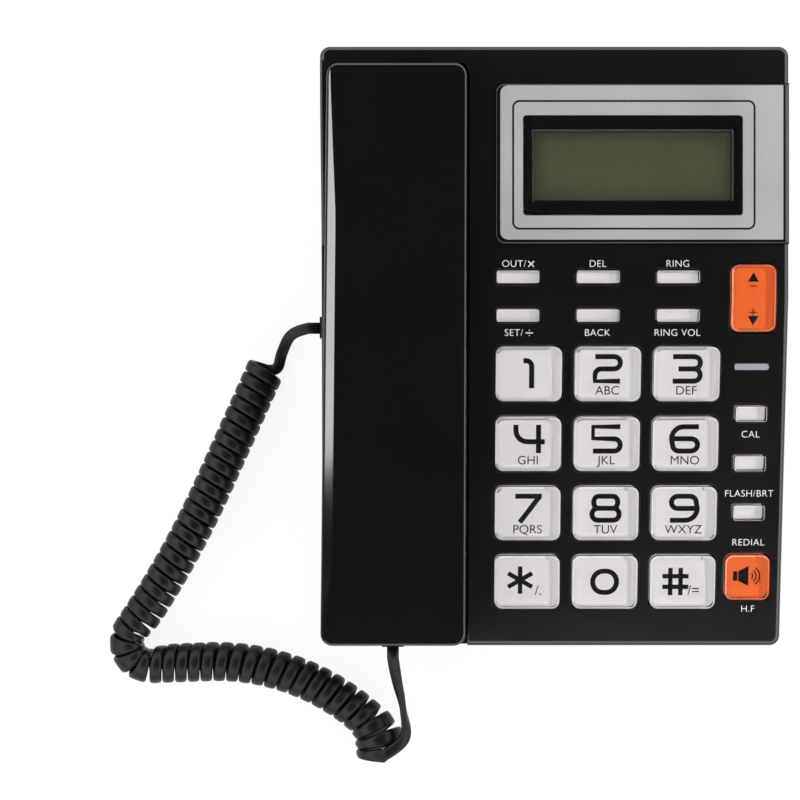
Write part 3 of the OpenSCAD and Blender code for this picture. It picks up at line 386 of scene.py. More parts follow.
def cross_screws(body, plane, middles, level, sizes):
    """A body's screws as one piece, each upside down at a level over its place in a plane."""
    screws = bmesh.new()
    for middle in middles:
        place = plane @ Matrix.Translation((middle.x, middle.y, level)) @ upside_down
        join_in(screws, cross_screw(place, *sizes))
    new_piece(body + "_cross_screws", screws, zinc, body, "screw_steel", body + "_screws")


screw_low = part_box("base_screws")[0].z
cross_screws("base", Matrix(), middles_of("base_screws"), screw_low, base_screw)

# The digit keys: a clear acrylic cap over a white moulding, with the black print on the white under the
# cap. The white has a low ledge round its top, broad at the right, which lies in the top's shade.
# Each key drops through its hole from inside, and the flange of its black carrier stops it under the face.
# The polished cap glints along its rounded edges, the white under it is satin, and the print is dull.
acrylic = finish("clear cast acrylic", "#fdfcfc", 0.05, 2, 0.0005, 0.0, IOR=1.49,
                 Transmission_Weight=1.0)
key_white = finish("white moulded ABS", "#efeded", 0.4, 0.4, 0.004, 0.03, IOR=1.53)
key_ink = finish("black screen print", "#040404", 0.6, 0.2, 0.002, IOR=1.25)
key_rise, print_level, ledge_drop = 2.2 * mm, -0.2 * mm, 1.9 * mm
key_foot, flange_top, flange_width = -4.2 * mm, -2.6 * mm, 1 * mm
print_thickness, cap_gap, capital_share = 0.06 * mm, 0.1 * mm, 0.72
cap_radius, cap_inset, cap_clearance = 0.9 * mm, 0.3 * mm, 0.2 * mm
key_corner, flange_edge = 2.8 * mm, 0.2 * mm


def rounded_block(width, depth, low, high, corner, edge):
    """A block with rounded upright corners and a rounded top edge, round the local origin."""
    bm = bmesh.new()
    bmesh.ops.create_cube(bm, size=1)
    bmesh.ops.scale(bm, vec=(width, depth, high - low), verts=bm.verts)
    bmesh.ops.translate(bm, vec=(0, 0, (low + high) / 2), verts=bm.verts)
    upright = [e for e in bm.edges if abs(e.verts[0].co.z - e.verts[1].co.z) > (high - low) / 2]
    bevel(bm, upright, corner, 8)
    if edge:
        rim = [e for e in bm.edges if min(v.co.z for v in e.verts) > high - edge / 100]
        bevel(bm, rim, edge, 5)
    return bm


def top_face(bm):
    return max(bm.faces, key=lambda face: face.calc_center_median().z)


def draw_in(bm, face, scale, shift, rise):
    """Insets a face, then scales, shifts and raises the inset face, which leaves a rim round it."""
    bmesh.ops.inset_region(bm, faces=[face], thickness=hair, use_even_offset=True, use_boundary=True)
    bmesh.ops.scale(bm, vec=(scale[0], scale[1], 1), verts=face.verts)
    bmesh.ops.translate(bm, vec=(shift[0], shift[1], rise), verts=face.verts)


def ledged(width, depth, low, corner, left, right, front, rear):
    """A key's moulding: a block with a lower ledge round its top, of another width on each side."""
    bm = rounded_block(width, depth, low, print_level - ledge_drop, corner, 0)
    scale = ((width - left - right) / width, (depth - front - rear) / depth)
    top = top_face(bm)
    draw_in(bm, top, scale, ((left - right) / 2, (front - rear) / 2), 0)
    draw_in(bm, top, (1, 1), (0, 0), ledge_drop)
    return bm


def key_meshes(width, depth, flange, foot, shelf, corner, edge, ledges):
    """A key's three meshes: a carrier with a flange, a moulding on its shelf and a clear cap over that."""
    return (rounded_block(width + 2 * flange, depth + 2 * flange, foot, shelf, corner, flange_edge),
            ledged(width - cap_clearance, depth - cap_clearance, shelf, corner, *ledges),
            rounded_block(width, depth, print_level + cap_gap, key_rise, corner, edge))


def key_pieces(key, place, meshes, core_material, slot):
    """A key's meshes as pieces in their place."""
    carrier, core, cap = meshes
    new_piece(key + "_carrier", carrier, black_abs, key, slot, place=place)
    new_piece(key + "_core", core, core_material, key, slot, key, place=place)
    new_piece(key + "_cap", cap, acrylic, key, "clear_key", place=place)


def capped_key(key, plane, corner, edge, ledges, core_material, slot):
    """A key as large as its CAD node. Returns its place on the face."""
    middle, size = local_box(key, plane)
    place, flange = plane @ Matrix.Translation((middle.x, middle.y, 0)), flange_width + cap_inset
    meshes = key_meshes(size.x - 2 * flange, size.y - 2 * flange, flange, key_foot, flange_top, corner, edge,
                        ledges)
    key_pieces(key, place, meshes, core_material, slot)
    return place


def arc(cx, cy, rx, ry, start, end):
    """Points of an arc in millimetres, from one angle in degrees to another."""
    count = max(3, int(abs(end - start) / 12))
    turns = [math.radians(start + (end - start) * i / count) for i in range(count + 1)]
    return [(cx + rx * math.cos(a), cy + ry * math.sin(a)) for a in turns]


def flat_print(name, source, flatten, place, material, body, slot):
    """A curve or a text made a mesh, flattened to the thickness of print and put in its place."""
    piece = add_object(name, source)
    bpy.context.view_layer.update()
    mesh = bpy.data.meshes.new_from_object(piece.evaluated_get(bpy.context.evaluated_depsgraph_get()))
    bpy.data.objects.remove(piece)
    bm = bmesh.new()
    bm.from_mesh(mesh)
    bpy.data.meshes.remove(mesh)
    bmesh.ops.remove_doubles(bm, verts=bm.verts, dist=0.0005 * mm)
    bmesh.ops.scale(bm, vec=(1, 1, flatten), verts=bm.verts)
    new_piece(name, bm, material, body, slot, place=place)


def stroke_print(name, strokes, width, place, material, body, slot, closed=False):
    """Printed lines, open or closed, along paths in millimetres."""
    curve = bpy.data.curves.new(name, "CURVE")
    curve.dimensions = "3D"
    curve.bevel_depth = width / 2
    curve.bevel_resolution = 2
    curve.use_fill_caps = True
    for path in strokes:
        spline = curve.splines.new("POLY")
        spline.points.add(len(path) - 1)
        for point, (x, y) in zip(spline.points, path):
            point.co = (x * mm, y * mm, 0, 1)
        spline.use_cyclic_u = closed
    flat_print(name, curve, print_thickness / width, place, material, body, slot)


def word_print(name, words, height, place, material, body, slot, thinning, spread=1.0):
    """A word in plain sans letters of a given capital height, centred on its place."""
    text = bpy.data.curves.new(name, "FONT")
    text.body = words
    text.align_x, text.align_y = "CENTER", "CENTER"
    text.size = height / capital_share
    text.space_character = spread
    text.offset = -thinning
    text.extrude = print_thickness / 2
    flat_print(name, text, 1.0, place, material, body, slot)


def moved(place, x, y, level):
    """A place moved by millimetres along its own plane, to a level above it."""
    return place @ Matrix.Translation((x * mm, y * mm, level))


# The digits are open strokes of one width. Their paths are in millimetres from the middle of the digit.
right, narrow, top, bend_r = 4.75, 4.35, 4.27, 2.13
upper_bowl = arc(right - bend_r, bend_r, bend_r, bend_r, 90, -90)
lower_bowl = arc(right - bend_r, -bend_r, bend_r, bend_r, 90, -90)
six = ([(right, top)] + arc(-0.6, 0, right - 0.6, top, 90, 180) + arc(-2, -2, 2.35, 2.27, 180, 270)
       + arc(2, -2.1, 2.35, 2.17, -90, 90) + [(-right + 0.1, 0.07)])
star_arms = [(4.9 * math.cos(a), 4.9 * math.sin(a)) for a in map(math.radians, (90, 30, 150))]
DIGIT_STROKES = {
    "key_1": [[(-1.9, 4.6)] + arc(-1.0, 2.6, 2.0, 2.0, 85, 0) + [(1.0, -5)]],
    "key_2": [[(-narrow, top)] + arc(narrow - bend_r, bend_r, bend_r, bend_r, 90, -90)
              + arc(-narrow + bend_r, -bend_r, bend_r, bend_r, 90, 180) + [(-narrow, -top), (narrow, -top)]],
    "key_3": [[(-right, top)] + upper_bowl + [(-2.8, 0)], lower_bowl + [(-right, -top)]],
    "key_4": [[(-4.3, 5)] + arc(-0.2, 3.0, 4.1, 4.0, 180, 270) + [(5.8, -1)], [(3.6, 5), (3.6, -5)]],
    "key_5": [[(right, top), (-right, top), (-right, 0.2)] + lower_bowl + [(-right, -top)]],
    "key_6": [six],
    "key_7": [[(-narrow, top), (narrow + 0.6, top)], [(narrow - 0.1, top), (-2.7, -5)]],
    "key_8": [arc(-2.5, 2.13, 1.7, 2.13, 90, 270) + arc(2.5, 2.13, 1.7, 2.13, -90, 90),
              arc(-2.65, -2.13, 2.1, 2.13, 90, 270) + arc(2.65, -2.13, 2.1, 2.13, -90, 90)],
    "key_9": [[(-x, -y) for x, y in six]],
    "key_star": [[(x, y), (-x, -y)] for x, y in star_arms],
    "key_0": [arc(-0.6, 0, 3.6, 3.8, 90, 270) + arc(0.6, 0, 3.6, 3.8, -90, 90)],
    "key_hash": [[(-4.6, 1.9), (4.6, 1.9)], [(-4.6, -1.9), (4.6, -1.9)],
                 [(-1.8, -4.9), (-1.8, 4.9)], [(1.8, -4.9), (1.8, 4.9)]],
}
CLOSED_DIGITS = ("key_8", "key_0")
DIGIT_LETTERS = {"key_2": "ABC", "key_3": "DEF", "key_4": "GHI", "key_5": "JKL", "key_6": "MNO",
                 "key_7": "PQRS", "key_8": "TUV", "key_9": "WXYZ"}
DIGIT_SIGNS = {"key_star": ("/.", -2.4, 0.6), "key_hash": ("/=", -2.4, 0.1)}
digit_stroke, sign_stroke, letter_height, sign_height = 1.8 * mm, 1.6 * mm, 3.15 * mm, 3.6 * mm
digit_rise, letter_drop, sign_across, sign_drop = 1.75, -5.9, 4, -3.2
letter_thinning, label_thinning = 0.005 * mm, 0.05 * mm
digit_ledges = (0.7 * mm, 3.3 * mm, 0.8 * mm, 1 * mm)
for key, strokes in DIGIT_STROKES.items():
    place = capped_key(key, keypad_plane, key_corner, cap_radius, digit_ledges, key_white, "clear_key")
    ink = (key_ink, key, "clear_key")
    if key in DIGIT_SIGNS:
        sign, across, along = DIGIT_SIGNS[key]
        stroke_print(key + "_digit", strokes, sign_stroke, moved(place, across, along, print_level), *ink)
        word_print(key + "_sign", sign, sign_height, moved(place, sign_across, sign_drop, print_level),
                   *ink, 0)
    else:
        rise = digit_rise if key in DIGIT_LETTERS else 0
        stroke_print(key + "_digit", strokes, digit_stroke, moved(place, 0, rise, print_level), *ink,
                     closed=key in CLOSED_DIGITS)
    if key in DIGIT_LETTERS:
        word_print(key + "_letters", DIGIT_LETTERS[key], letter_height,
                   moved(place, 0, letter_drop, print_level), *ink, letter_thinning)

# The small function and side keys: the same clear caps over white, without print on them. Their names are
# screen-printed beside them on the face in a chalky white, too thin to throw a shadow.
label_ink = finish("white screen print", "#d2d2d2", 0.5, 0.2, 0.002)
small_corner, small_edge, label_height, label_stroke = 0.7 * mm, 0.4 * mm, 2.45 * mm, 0.3 * mm
small_ledges, label_spread = (0.3 * mm, 3.2 * mm, 0.3 * mm, 0.4 * mm), 1.05
SMALL_KEYS = [
    ("key_out", display_plane, "OUT/", -1.3, 4.5), ("key_delete", display_plane, "DEL", 0, 4.5),
    ("key_ring", display_plane, "RING", 0, 4.5), ("key_set", keypad_plane, "SET/", -1.3, -6.1),
    ("key_back", keypad_plane, "BACK", 0, -6.1), ("key_ring_volume", keypad_plane, "RING VOL", 0, -6.1),
    ("key_calculator", keypad_plane, "CAL", 0.2, -7.4), ("key_flash", keypad_plane, "FLASH/BRT", 0.2, -10.9),
    ("key_redial", keypad_plane, "REDIAL", 0.3, -10.9)]
LABEL_SIGNS = {
    "key_out": (4.6, [[(-1, -1), (1, 1)], [(-1, 1), (1, -1)]]),
    "key_set": (4.1, [[(-1.3, 0), (1.3, 0)], [(-0.15, 0.9), (0.15, 0.9)], [(-0.15, -0.9), (0.15, -0.9)]])}
face_ink, label_level = (label_ink, "base", "white_plastic"), print_thickness / 2
for key, plane, words, across, along in SMALL_KEYS:
    place = capped_key(key, plane, small_corner, small_edge, small_ledges, key_white, "clear_key")
    word_print(key + "_label", words, label_height, moved(place, across, along, label_level), *face_ink,
               label_thinning, label_spread)
    if key in LABEL_SIGNS:
        across, strokes = LABEL_SIGNS[key]
        stroke_print(key + "_label_sign", strokes, label_stroke, moved(place, across, along, label_level),
                     *face_ink)

# The hands-free key and the volume rocker: clear caps over orange as satin as the white keys, with black
# signs under the cap. The rocker is bent like the face and tips on two pins.
key_orange = finish("orange moulded ABS", "#ff6c0a", 0.4, 0.4, 0.004, 0.04, IOR=1.53)
handsfree = capped_key("key_handsfree", keypad_plane, key_corner, cap_radius, digit_ledges, key_orange,
                       "orange_key")
word_print("handsfree_label", "H.F", label_height, moved(handsfree, 0.7, -11.6, label_level), *face_ink,
           label_thinning, label_spread)


def shape_print(name, outline, place, material, body, slot):
    """A filled flat sign: an outline in millimetres, as thick as the print."""
    bm = bmesh.new()
    face = bm.faces.new([bm.verts.new((x * mm, y * mm, 0)) for x, y in outline])
    raised = bmesh.ops.extrude_face_region(bm, geom=[face])["geom"]
    bmesh.ops.translate(bm, vec=(0, 0, print_thickness / 2),
                        verts=[v for v in raised if isinstance(v, bmesh.types.BMVert)])
    new_piece(name, bm, material, body, slot, place=place)


wave_stroke, wave_radii, wave_reach = 0.5 * mm, (1.2, 2.4, 3.6), 55
speaker_sign = moved(handsfree, 0, 0.4, print_level)
ink = (key_ink, "key_handsfree", "orange_key")
for name, outline in (("magnet", [(-4.8, -1.7), (-3.3, -1.7), (-3.3, 1.7), (-4.8, 1.7)]),
                      ("horn", [(-3.0, -1.7), (0.6, -3.6), (0.6, 3.6), (-3.0, 1.7)])):
    shape_print("handsfree_" + name, outline, speaker_sign, *ink)
waves = [arc(0.9, 0, radius, radius, -wave_reach, wave_reach) for radius in wave_radii]
stroke_print("handsfree_waves", waves, wave_stroke, speaker_sign, *ink)

rocker_bend = (keypad_tilt - display_tilt) / 2
rocker_plane = Matrix.Translation(crease) @ Matrix.Rotation((display_tilt + keypad_tilt) / 2, 4, "X")
rocker_low, rocker_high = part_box("volume_rocker")
rocker = rocker_plane @ Matrix.Translation(((rocker_low.x + rocker_high.x) / 2, 0, 0))
rocker_width, rocker_length, rocker_depth = 15.3 * mm, 23.1 * mm, 4.9 * mm
rocker_flange, pin_radius, pin_length = 0.6 * mm, 1.2 * mm, 19.9 * mm
arrow_half_width, arrow_half_length, bar_stroke = 1.9, 1.6, 0.35 * mm


def bend_over_crease(bm):
    """Folds a block over the crease, so that both its halves follow the face."""
    cut_across(bm, (0, 0, 0), (0, 1, 0))
    for vert in bm.verts:
        vert.co.z -= abs(vert.co.y) * math.tan(rocker_bend)


rocker_meshes = key_meshes(
    rocker_width, rocker_length, flange_width, -rocker_depth, -rocker_depth + rocker_flange, key_corner,
    cap_radius, digit_ledges)
add_rod(rocker_meshes[0], 24, pin_radius, pin_radius, pin_length,
        Matrix.Translation((0, 0, -rocker_depth)) @ Matrix.Rotation(math.pi / 2, 4, "Y"))
for bent in rocker_meshes[1:]:
    bend_over_crease(bent)
key_pieces("volume_rocker", rocker, rocker_meshes, key_orange, "orange_key")
ink = (key_ink, "volume_rocker", "orange_key")
ROCKER_SIGNS = [("up", 1, 7.3, [[(-1.25, 4.2), (1.25, 4.2)]]),
                ("down", -1, -7.7, [[(-1.25, -4.85), (1.25, -4.85)], [(0, -6.1), (0, -3.6)]])]
for name, pointing, centre, bars in ROCKER_SIGNS:
    half = moved(rocker @ Matrix.Rotation(-pointing * rocker_bend, 4, "X"), 0, 0, print_level)
    foot, tip = centre - arrow_half_length * pointing, centre + arrow_half_length * pointing
    shape_print("rocker_arrow_" + name, [(-arrow_half_width, foot), (arrow_half_width, foot), (0, tip)],
                half, *ink)
    stroke_print("rocker_bar_" + name, bars, bar_stroke, half, *ink)

# The indicator light: a frosted polycarbonate bar over an LED, set flush in a slot of the face. The frosting
# scatters the light into an even grey.
frosted = finish("frosted polycarbonate", "#84828a", 0.4, 0.3, 0.01, IOR=1.58, Subsurface_Weight=0.2)
lens_middle, lens_size = local_box("indicator_lens", keypad_plane)
light_low, light_high = lens_middle.z - lens_size.z / 2, lens_middle.z + lens_size.z / 2
light_width, light_depth, light_corner, light_edge = 11.9 * mm, 2.2 * mm, 1 * mm, 0.3 * mm
light_bar = rounded_block(light_width, light_depth, light_low, light_high, light_corner, light_edge)
new_piece("indicator_light_bar", light_bar, frosted, "base", "indicator", "indicator_lens",
          place=keypad_plane @ Matrix.Translation((lens_middle.x, lens_middle.y, 0)))

# The display plate: thin aluminium painted silver and glued on the raised pad, with a black line printed
# round its window. The paint's fine metal flakes give it a soft sheen.
silver = finish("silver painted aluminium", "#a6a4a4", 0.4, 0.2, 0.006, 0.05, Metallic=0.5)
plate_top, plate_edge, border_stroke = 1.8 * mm, 0.12 * mm, 0.7 * mm
plate = welded("display_plate")
round_edges(plate, plate_edge, 3, upward)
new_piece("display_plate_sheet", plate, silver, "base", "silver_plate", "display_plate")
# The corners of the line, in millimetres: the middle of each and the angle at which it starts.
border_left, border_right, border_low, border_high, border_r = -12.2, 66.4, 26, 65.5, 2.2
border_corners = [(border_right, border_high, 90), (border_right, border_low, 0),
                  (border_left, border_low, 270), (border_left, border_high, 180)]
border = [point for x, y, start in border_corners
          for point in arc(x, y, border_r, border_r, start, start - 90)]
stroke_print("display_border", [border], border_stroke, moved(display_plane, 0, 0, plate_top),
             key_ink, "base", "silver_plate", closed=True)

# The display window: a polished, hard-coated acrylic lens over a glossy black mask with a bevelled frame,
# through which the LCD shows in its well: dull grey-green glass, switched off.
window_middle, window_size = local_box("display_window", display_plane)
window = display_plane @ Matrix.Translation((window_middle.x, window_middle.y, 0))
view_width, view_depth = 68.5 * mm, 23.9 * mm
lens_low, lens_rim, lens_corner, lens_proud = 1.3 * mm, 0.25 * mm, 1.3 * mm, 0.05 * mm
mask_top, bevel_width, bevel_drop, lcd_top = 1.2 * mm, 0.4 * mm, 0.31 * mm, -2.4 * mm
lens_acrylic = finish("clear hard-coated acrylic", "#f2f4f2", 0.05, 5, 0.0002, 0.0, IOR=1.49,
                      Transmission_Weight=1.0)
lens = rounded_block(window_size.x, window_size.y, lens_low, plate_top + lens_proud, lens_corner, lens_rim)
new_piece("display_lens", lens, lens_acrylic, "base", "window", "display_window", place=window)
mask_black = finish("black back print", "#060606", 0.14, 0.5, 0.002)
mask = bmesh.new()
bmesh.ops.create_grid(mask, x_segments=1, y_segments=1, size=0.5)
bmesh.ops.scale(mask, vec=(window_size.x, window_size.y, 1), verts=mask.verts)
bmesh.ops.translate(mask, vec=(0, 0, mask_top), verts=mask.verts)
opening = mask.faces[:][0]
wide = (view_width + 2 * bevel_width, view_depth + 2 * bevel_width)
for (width, depth), (outer_width, outer_depth), rise in (
        (wide, window_size.xy, 0), ((view_width, view_depth), wide, -bevel_drop),
        ((view_width, view_depth), (view_width, view_depth), lcd_top - mask_top + bevel_drop)):
    draw_in(mask, opening, (width / outer_width, depth / outer_depth), (0, 0), rise)
bmesh.ops.delete(mask, geom=[opening], context="FACES")
new_piece("display_mask", mask, mask_black, "base", "window", place=window)


def paint(material, *nodes):
    """Gives CAD nodes' objects one material."""
    for node in nodes:
        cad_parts[node].data.materials.clear()
        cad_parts[node].data.materials.append(material)


paint(finish("LCD glass, off", "#63624b", 0.13, 1.5, 0.0002, 0.04, IOR=1.5), "lcd_panel")

# Inside the base: creamy ABS holders, glass-fibre boards under a green solder mask, a grey steel loudspeaker,
# bright aluminium cans, and dull jacks of black polyester. They hang on bosses, clips and screws.
paint(finish("natural ABS", "#dcd9cf", 0.45, 0.4, 0.005, IOR=1.53), "lcd_holder", "hook_bracket")
paint(finish("green solder mask on glass fibre", "#1a6b3a", 0.3, 0.7, 0.02, IOR=1.55),
      "keypad_board", "main_board")
paint(zinc, "board_screws", "hook_spring")
paint(finish("red tinted epoxy", "#e23a30", 0.15, 1, 0.002, IOR=1.55), "indicator_led")
paint(finish("pressed and zinc-plated steel", "#6f7072", 0.4, 0.3, 0.006, Metallic=1.0),
      "loudspeaker", "handset_weight")
paint(finish("drawn aluminium", "#c9cacc", 0.28, 0.2, 0.003, Metallic=1.0),
      "handsfree_microphone", "receiver_capsule", "microphone_capsule")
paint(finish("black glass-filled polyester", "#161616", 0.5, 0.3, 0.01, IOR=1.57),
      "base_jack", "line_jack", "handset_socket")
paint(finish("blue moulded nylon", "#24357a", 0.45, 0.4, 0.005, IOR=1.53), "hook_switch")

# The key mat: a sheet of dull grey silicone rubber over the keypad board, with a dome moulded on it under
# each key and two under the rocker. A dome buckles under its key's stroke.
silicone = finish("grey silicone rubber", "#bfc4c6", 0.6, 0.3, 0.01, IOR=1.41, Subsurface_Weight=0.1)
mat_top, mat_slack, dome_taper = -7 * mm, 0.05 * mm, 0.7
mat = welded("key_mat")
raised = []
for vert in mat.verts:
    local = keypad_plane.inverted() @ vert.co
    if local.z > mat_top + mat_slack:
        raised.append(local)
        vert.co = keypad_plane @ Vector((local.x, local.y, mat_top))
new_piece("key_mat_sheet", mat, silicone, "base", "silicone", "key_mat")
pressing = list(DIGIT_STROKES) + [row[0] for row in SMALL_KEYS] + ["key_handsfree", "volume_rocker"]
pressed = {node: keypad_plane.inverted() @ (sum(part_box(node), Vector()) / 2) for node in pressing}
for number, ring in enumerate(gathered(raised), 1):
    middle = sum((point.xy for point in ring), Vector((0, 0))) / len(ring)
    radius = max((point.xy - middle).length for point in ring)
    height = max(point.z for point in ring) - mat_top
    key = min(pressed, key=lambda node: (pressed[node].xy - middle).length)
    foot = keypad_plane @ Matrix.Translation((middle.x, middle.y, mat_top))
    dome = bmesh.new()
    add_rod(dome, 24, radius / dome_taper, radius, height, foot @ Matrix.Translation((0, 0, height / 2)))
    piece = new_piece("key_dome_" + str(number), dome, silicone, "base", "silicone")
    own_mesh(piece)

# The line jack's contacts: six sprung bronze wires, plated with bright gold, which slant up from the mouth's
# floor. The jack's polyester holds them side by side, and a plug presses them down.
gold = finish("gold-plated spring bronze", "#d9b45a", 0.22, 0.1, 0.001, Metallic=1.0)
jack_low, jack_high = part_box("line_jack")
jack_middle = (jack_low + jack_high) / 2
wire_radius, wire_pitch, wire_length, wire_slope = 0.25 * mm, 1.02 * mm, 10 * mm, math.radians(25)
wire_count, wire_behind = 6, 7 * mm
contacts = bmesh.new()
for i in range(wire_count):
    place = Matrix.Translation((jack_middle.x + (i - (wire_count - 1) / 2) * wire_pitch,
                                jack_high.y - wire_behind, jack_middle.z))
    add_rod(contacts, 10, wire_radius, wire_radius, wire_length,
            place @ Matrix.Rotation(math.pi / 2 - wire_slope, 4, "X"))
new_piece("line_jack_contacts", contacts, gold, "base", "screw_steel")

# The hook plunger: a black acetal pin with a rounded head and a waxy sheen. It slides in the hook bracket
# over its spring, and the handset's ear cup holds it down.
acetal = finish("black acetal", "#151515", 0.3, 0.5, 0.002, IOR=1.48)
plunger = welded("hook_plunger")
plunger_top, plunger_radius, plunger_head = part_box("hook_plunger")[1].z, 1.2 * mm, 3 * mm
round_edges(plunger, plunger_radius, 5, upward, lambda point: point.z > plunger_top - plunger_head)
new_piece("hook_plunger_pin", plunger, acetal, "hook", "base_plastic", "hook_plunger")

# The handset's outer shell: black ABS from a polished mould, glossy as glass, with an arched back. A sloping
# facet along its left edge runs out towards the ends, and its left side narrows a little towards the ear end.
# Two screws in the inner shell hold it.
cradle_gap = 1.2 * mm
handset_length, handset_width, handset_taper = 200 * mm, 50.4 * mm, 2.8 * mm
handset_split, handset_back, handset_arch, shell_wall = 6 * mm, 23 * mm, 3 * mm, 2.2 * mm
end_rim, ear_corner = 0.9 * mm, 4.2 * mm
left_facet, right_facet, facet_slope, facet_blend = 4.3 * mm, 0.3 * mm, math.tan(math.radians(22)), 0.3 * mm
facet_least, ear_run_out, mouth_run_out = 0.35, 50 * mm, (2 * mm, 30 * mm)
shell_cuts, left_cuts, right_cuts = 40, [0.9 + 0.3 * i for i in range(1, 15)] + [6, 8], [1.2, 1.6, 3, 8]
half_length, half_width = handset_length / 2, handset_width / 2
handset = deck @ Matrix.Translation((base_low.x + half_width, -cradle_gap - half_length, 0))
handset_abs = finish("glossy black ABS", "#0b0b0b", 0.12, 0.8, 0.001, IOR=1.53)


def facet_width(full, y):
    """Width of an edge's facet at a place along the handset."""
    ends = min(1, max(0, (half_length - y) / ear_run_out)) * smooth_step(half_length + y, *mouth_run_out)
    return full * (facet_least + (1 - facet_least) * ends)


shell = rounded_block(handset_width, handset_length, handset_split, handset_back, ear_corner, end_rim)
for cut in range(1, shell_cuts):
    cut_across(shell, (0, handset_length * (cut / shell_cuts - 0.5), 0), (0, 1, 0))
for side, insets in ((-1, left_cuts), (1, right_cuts)):
    for inset in insets:
        cut_across(shell, (side * (half_width - inset * mm), 0, 0), (1, 0, 0))
for vert in shell.verts:
    x, y, z = vert.co
    short = facet_width(left_facet if x < 0 else right_facet, y) - (half_width - abs(x))
    if z > handset_back - 1.1 * end_rim:
        vert.co.z -= facet_slope * (short + math.hypot(short, facet_blend)) / 2
    vert.co.z -= handset_arch * (y / half_length) ** 2 * (z - handset_split) / (handset_back - handset_split)
    if x < 0:
        vert.co.x -= x / half_width * handset_taper * (y + half_length) / handset_length
bmesh.ops.delete(shell, geom=[f for f in shell.faces if f.normal.z < -0.9], context="FACES")
outer_shell = new_piece("handset_back", shell, handset_abs, "handset", "handset_plastic",
                        "handset_outer_shell", place=handset)
thickness = outer_shell.modifiers.new("wall", "SOLIDIFY")
thickness.thickness = shell_wall
thickness.offset = -1

# The handset's inner shell: the same glossy ABS with the ear cup and the mouth cup, which sit in the base's
# pockets. Holes in the cups let the sound through, and two cross-recessed screws sit in its underside.
inner_holes = [handset.inverted() @ middle for middle in middles_of("handset_screws")]
for capsule in ("receiver_capsule", "microphone_capsule"):
    low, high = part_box(capsule)
    inner_holes.append(handset.inverted() @ ((low + high) / 2))
hole_zone, sound_hole_radius, cup_radius = 7 * mm, 0.2 * mm, 1 * mm


def near_hole(point):
    local = handset.inverted() @ point
    return any((local.xy - hole.xy).length < hole_zone for hole in inner_holes)


inner_shell = welded("handset_inner_shell")
round_edges(inner_shell, sound_hole_radius, 3, downward, near_hole)
round_edges(inner_shell, cup_radius, 5, downward, lambda point: not near_hole(point))
new_piece("handset_cups", inner_shell, handset_abs, "handset", "handset_plastic", "handset_inner_shell")
handset_screw, screw_sunk = (2.1 * mm, 1.4 * mm, 0.9 * mm, 9 * mm), 1.2 * mm
cross_screws("handset", handset, inner_holes[:2], screw_sunk, handset_screw)

# The curly cord: flat cord in a satin black vinyl, wound into a helix, lying on the table from the handset's
# front end to the base's left side. It folds over sharply between its two stretches, where the curls lie
# flattened and crowded, and it ends in a smoked modular plug at each end. Sizes are in millimetres.
vinyl = finish("black flexible vinyl", "#080808", 0.4, 0.6, 0.003, IOR=1.3)
coil_outside, coil_clearance, cord_width, cord_thickness = 14.2, 0.1, 4.2, 2.4
coil_radius, coil_height = (coil_outside - cord_thickness) / 2, coil_outside / 2 + coil_clearance
curl_pitch, slack_pitch, end_pitch, curl_gap = 4.6, 5.0, 5.3, 0.3
coil_start, end_swell, swell_run = (-59.3, -143.5, 97), 2.2, 16
coil_runs = [(14, 42, end_pitch), (62, 43, slack_pitch), (21, 0, curl_pitch), (17, -126, curl_pitch),
             (60, 10, curl_pitch), (51, 0, curl_pitch)]
fold_run, fold_room, fold_width, fold_softness, edge_swell = 3, 2.4, 6.2, 1.2, 1.4
fold_fade, end_fade = 6, 18
handset_tail_points = [(-54.5, -116, 22), (-52.2, -127, 18.8), (-51.6, -137, 18)]
base_tail_points = [(-98.6, -3.9, 1.4), (-96.8, 1.6, 2.4), (-93.2, 7.6, 6.9)]
plug_show, socket_height = 1.5, 10.8
rings_per_curl, tail_steps, twist_lean, tail_joins = 24, 10, 0.4, 0.6


def flat_direction(degrees):
    return Vector((math.cos(math.radians(degrees)), math.sin(math.radians(degrees)), 0))


def coil_axis(distance):
    """Point, heading and distance between curls at a distance along the curls' axis."""
    x, y, heading = coil_start
    for length, turn, pitch in coil_runs:
        run = min(distance, length)
        onward = heading + turn * run / length
        if turn:
            radius = length / math.radians(turn)
            x += radius * (math.sin(math.radians(onward)) - math.sin(math.radians(heading)))
            y -= radius * (math.cos(math.radians(onward)) - math.cos(math.radians(heading)))
        else:
            x += run * math.cos(math.radians(heading))
            y += run * math.sin(math.radians(heading))
        heading = onward
        distance -= length
        if distance <= 0:
            break
    return Vector((x, y, coil_height)), heading, pitch


fold_length, fold_turn, fold_pitch = coil_runs[fold_run]
fold_start = sum(length for length, turn, pitch in coil_runs[:fold_run])
fold_reach = (1 - fold_room / fold_pitch) * fold_length / abs(math.radians(fold_turn))
coil_length = sum(length for length, turn, pitch in coil_runs)
centres, headings, limits, s = [], [], [], 0
while s < coil_length:
    point, heading, pitch = coil_axis(s)
    turn = math.radians(90 + 360 * len(centres) / rings_per_curl)
    from_fold = max(fold_start - s, s - fold_start - fold_length, 0)
    swell = end_swell * (1 - smooth_step(s, 0, swell_run))
    reach, inward = (coil_radius + swell) * math.cos(turn), fold_reach + from_fold / 2
    across = (reach + inward - math.hypot(reach - inward, fold_softness)) / 2
    rise = swell + (coil_radius + swell) * math.sin(turn)
    centres.append(point + across * flat_direction(heading - 90) + Vector((0, 0, rise)))
    headings.append(flat_direction(heading))
    limits.append(fold_width + (cord_width - fold_width) * smooth_step(
        min(from_fold / fold_fade, s / end_fade), 0, 1))
    s += pitch / rings_per_curl
last = int((math.floor((len(centres) - 1) / rings_per_curl - 0.5) + 0.5) * rings_per_curl)
coil_rings = []
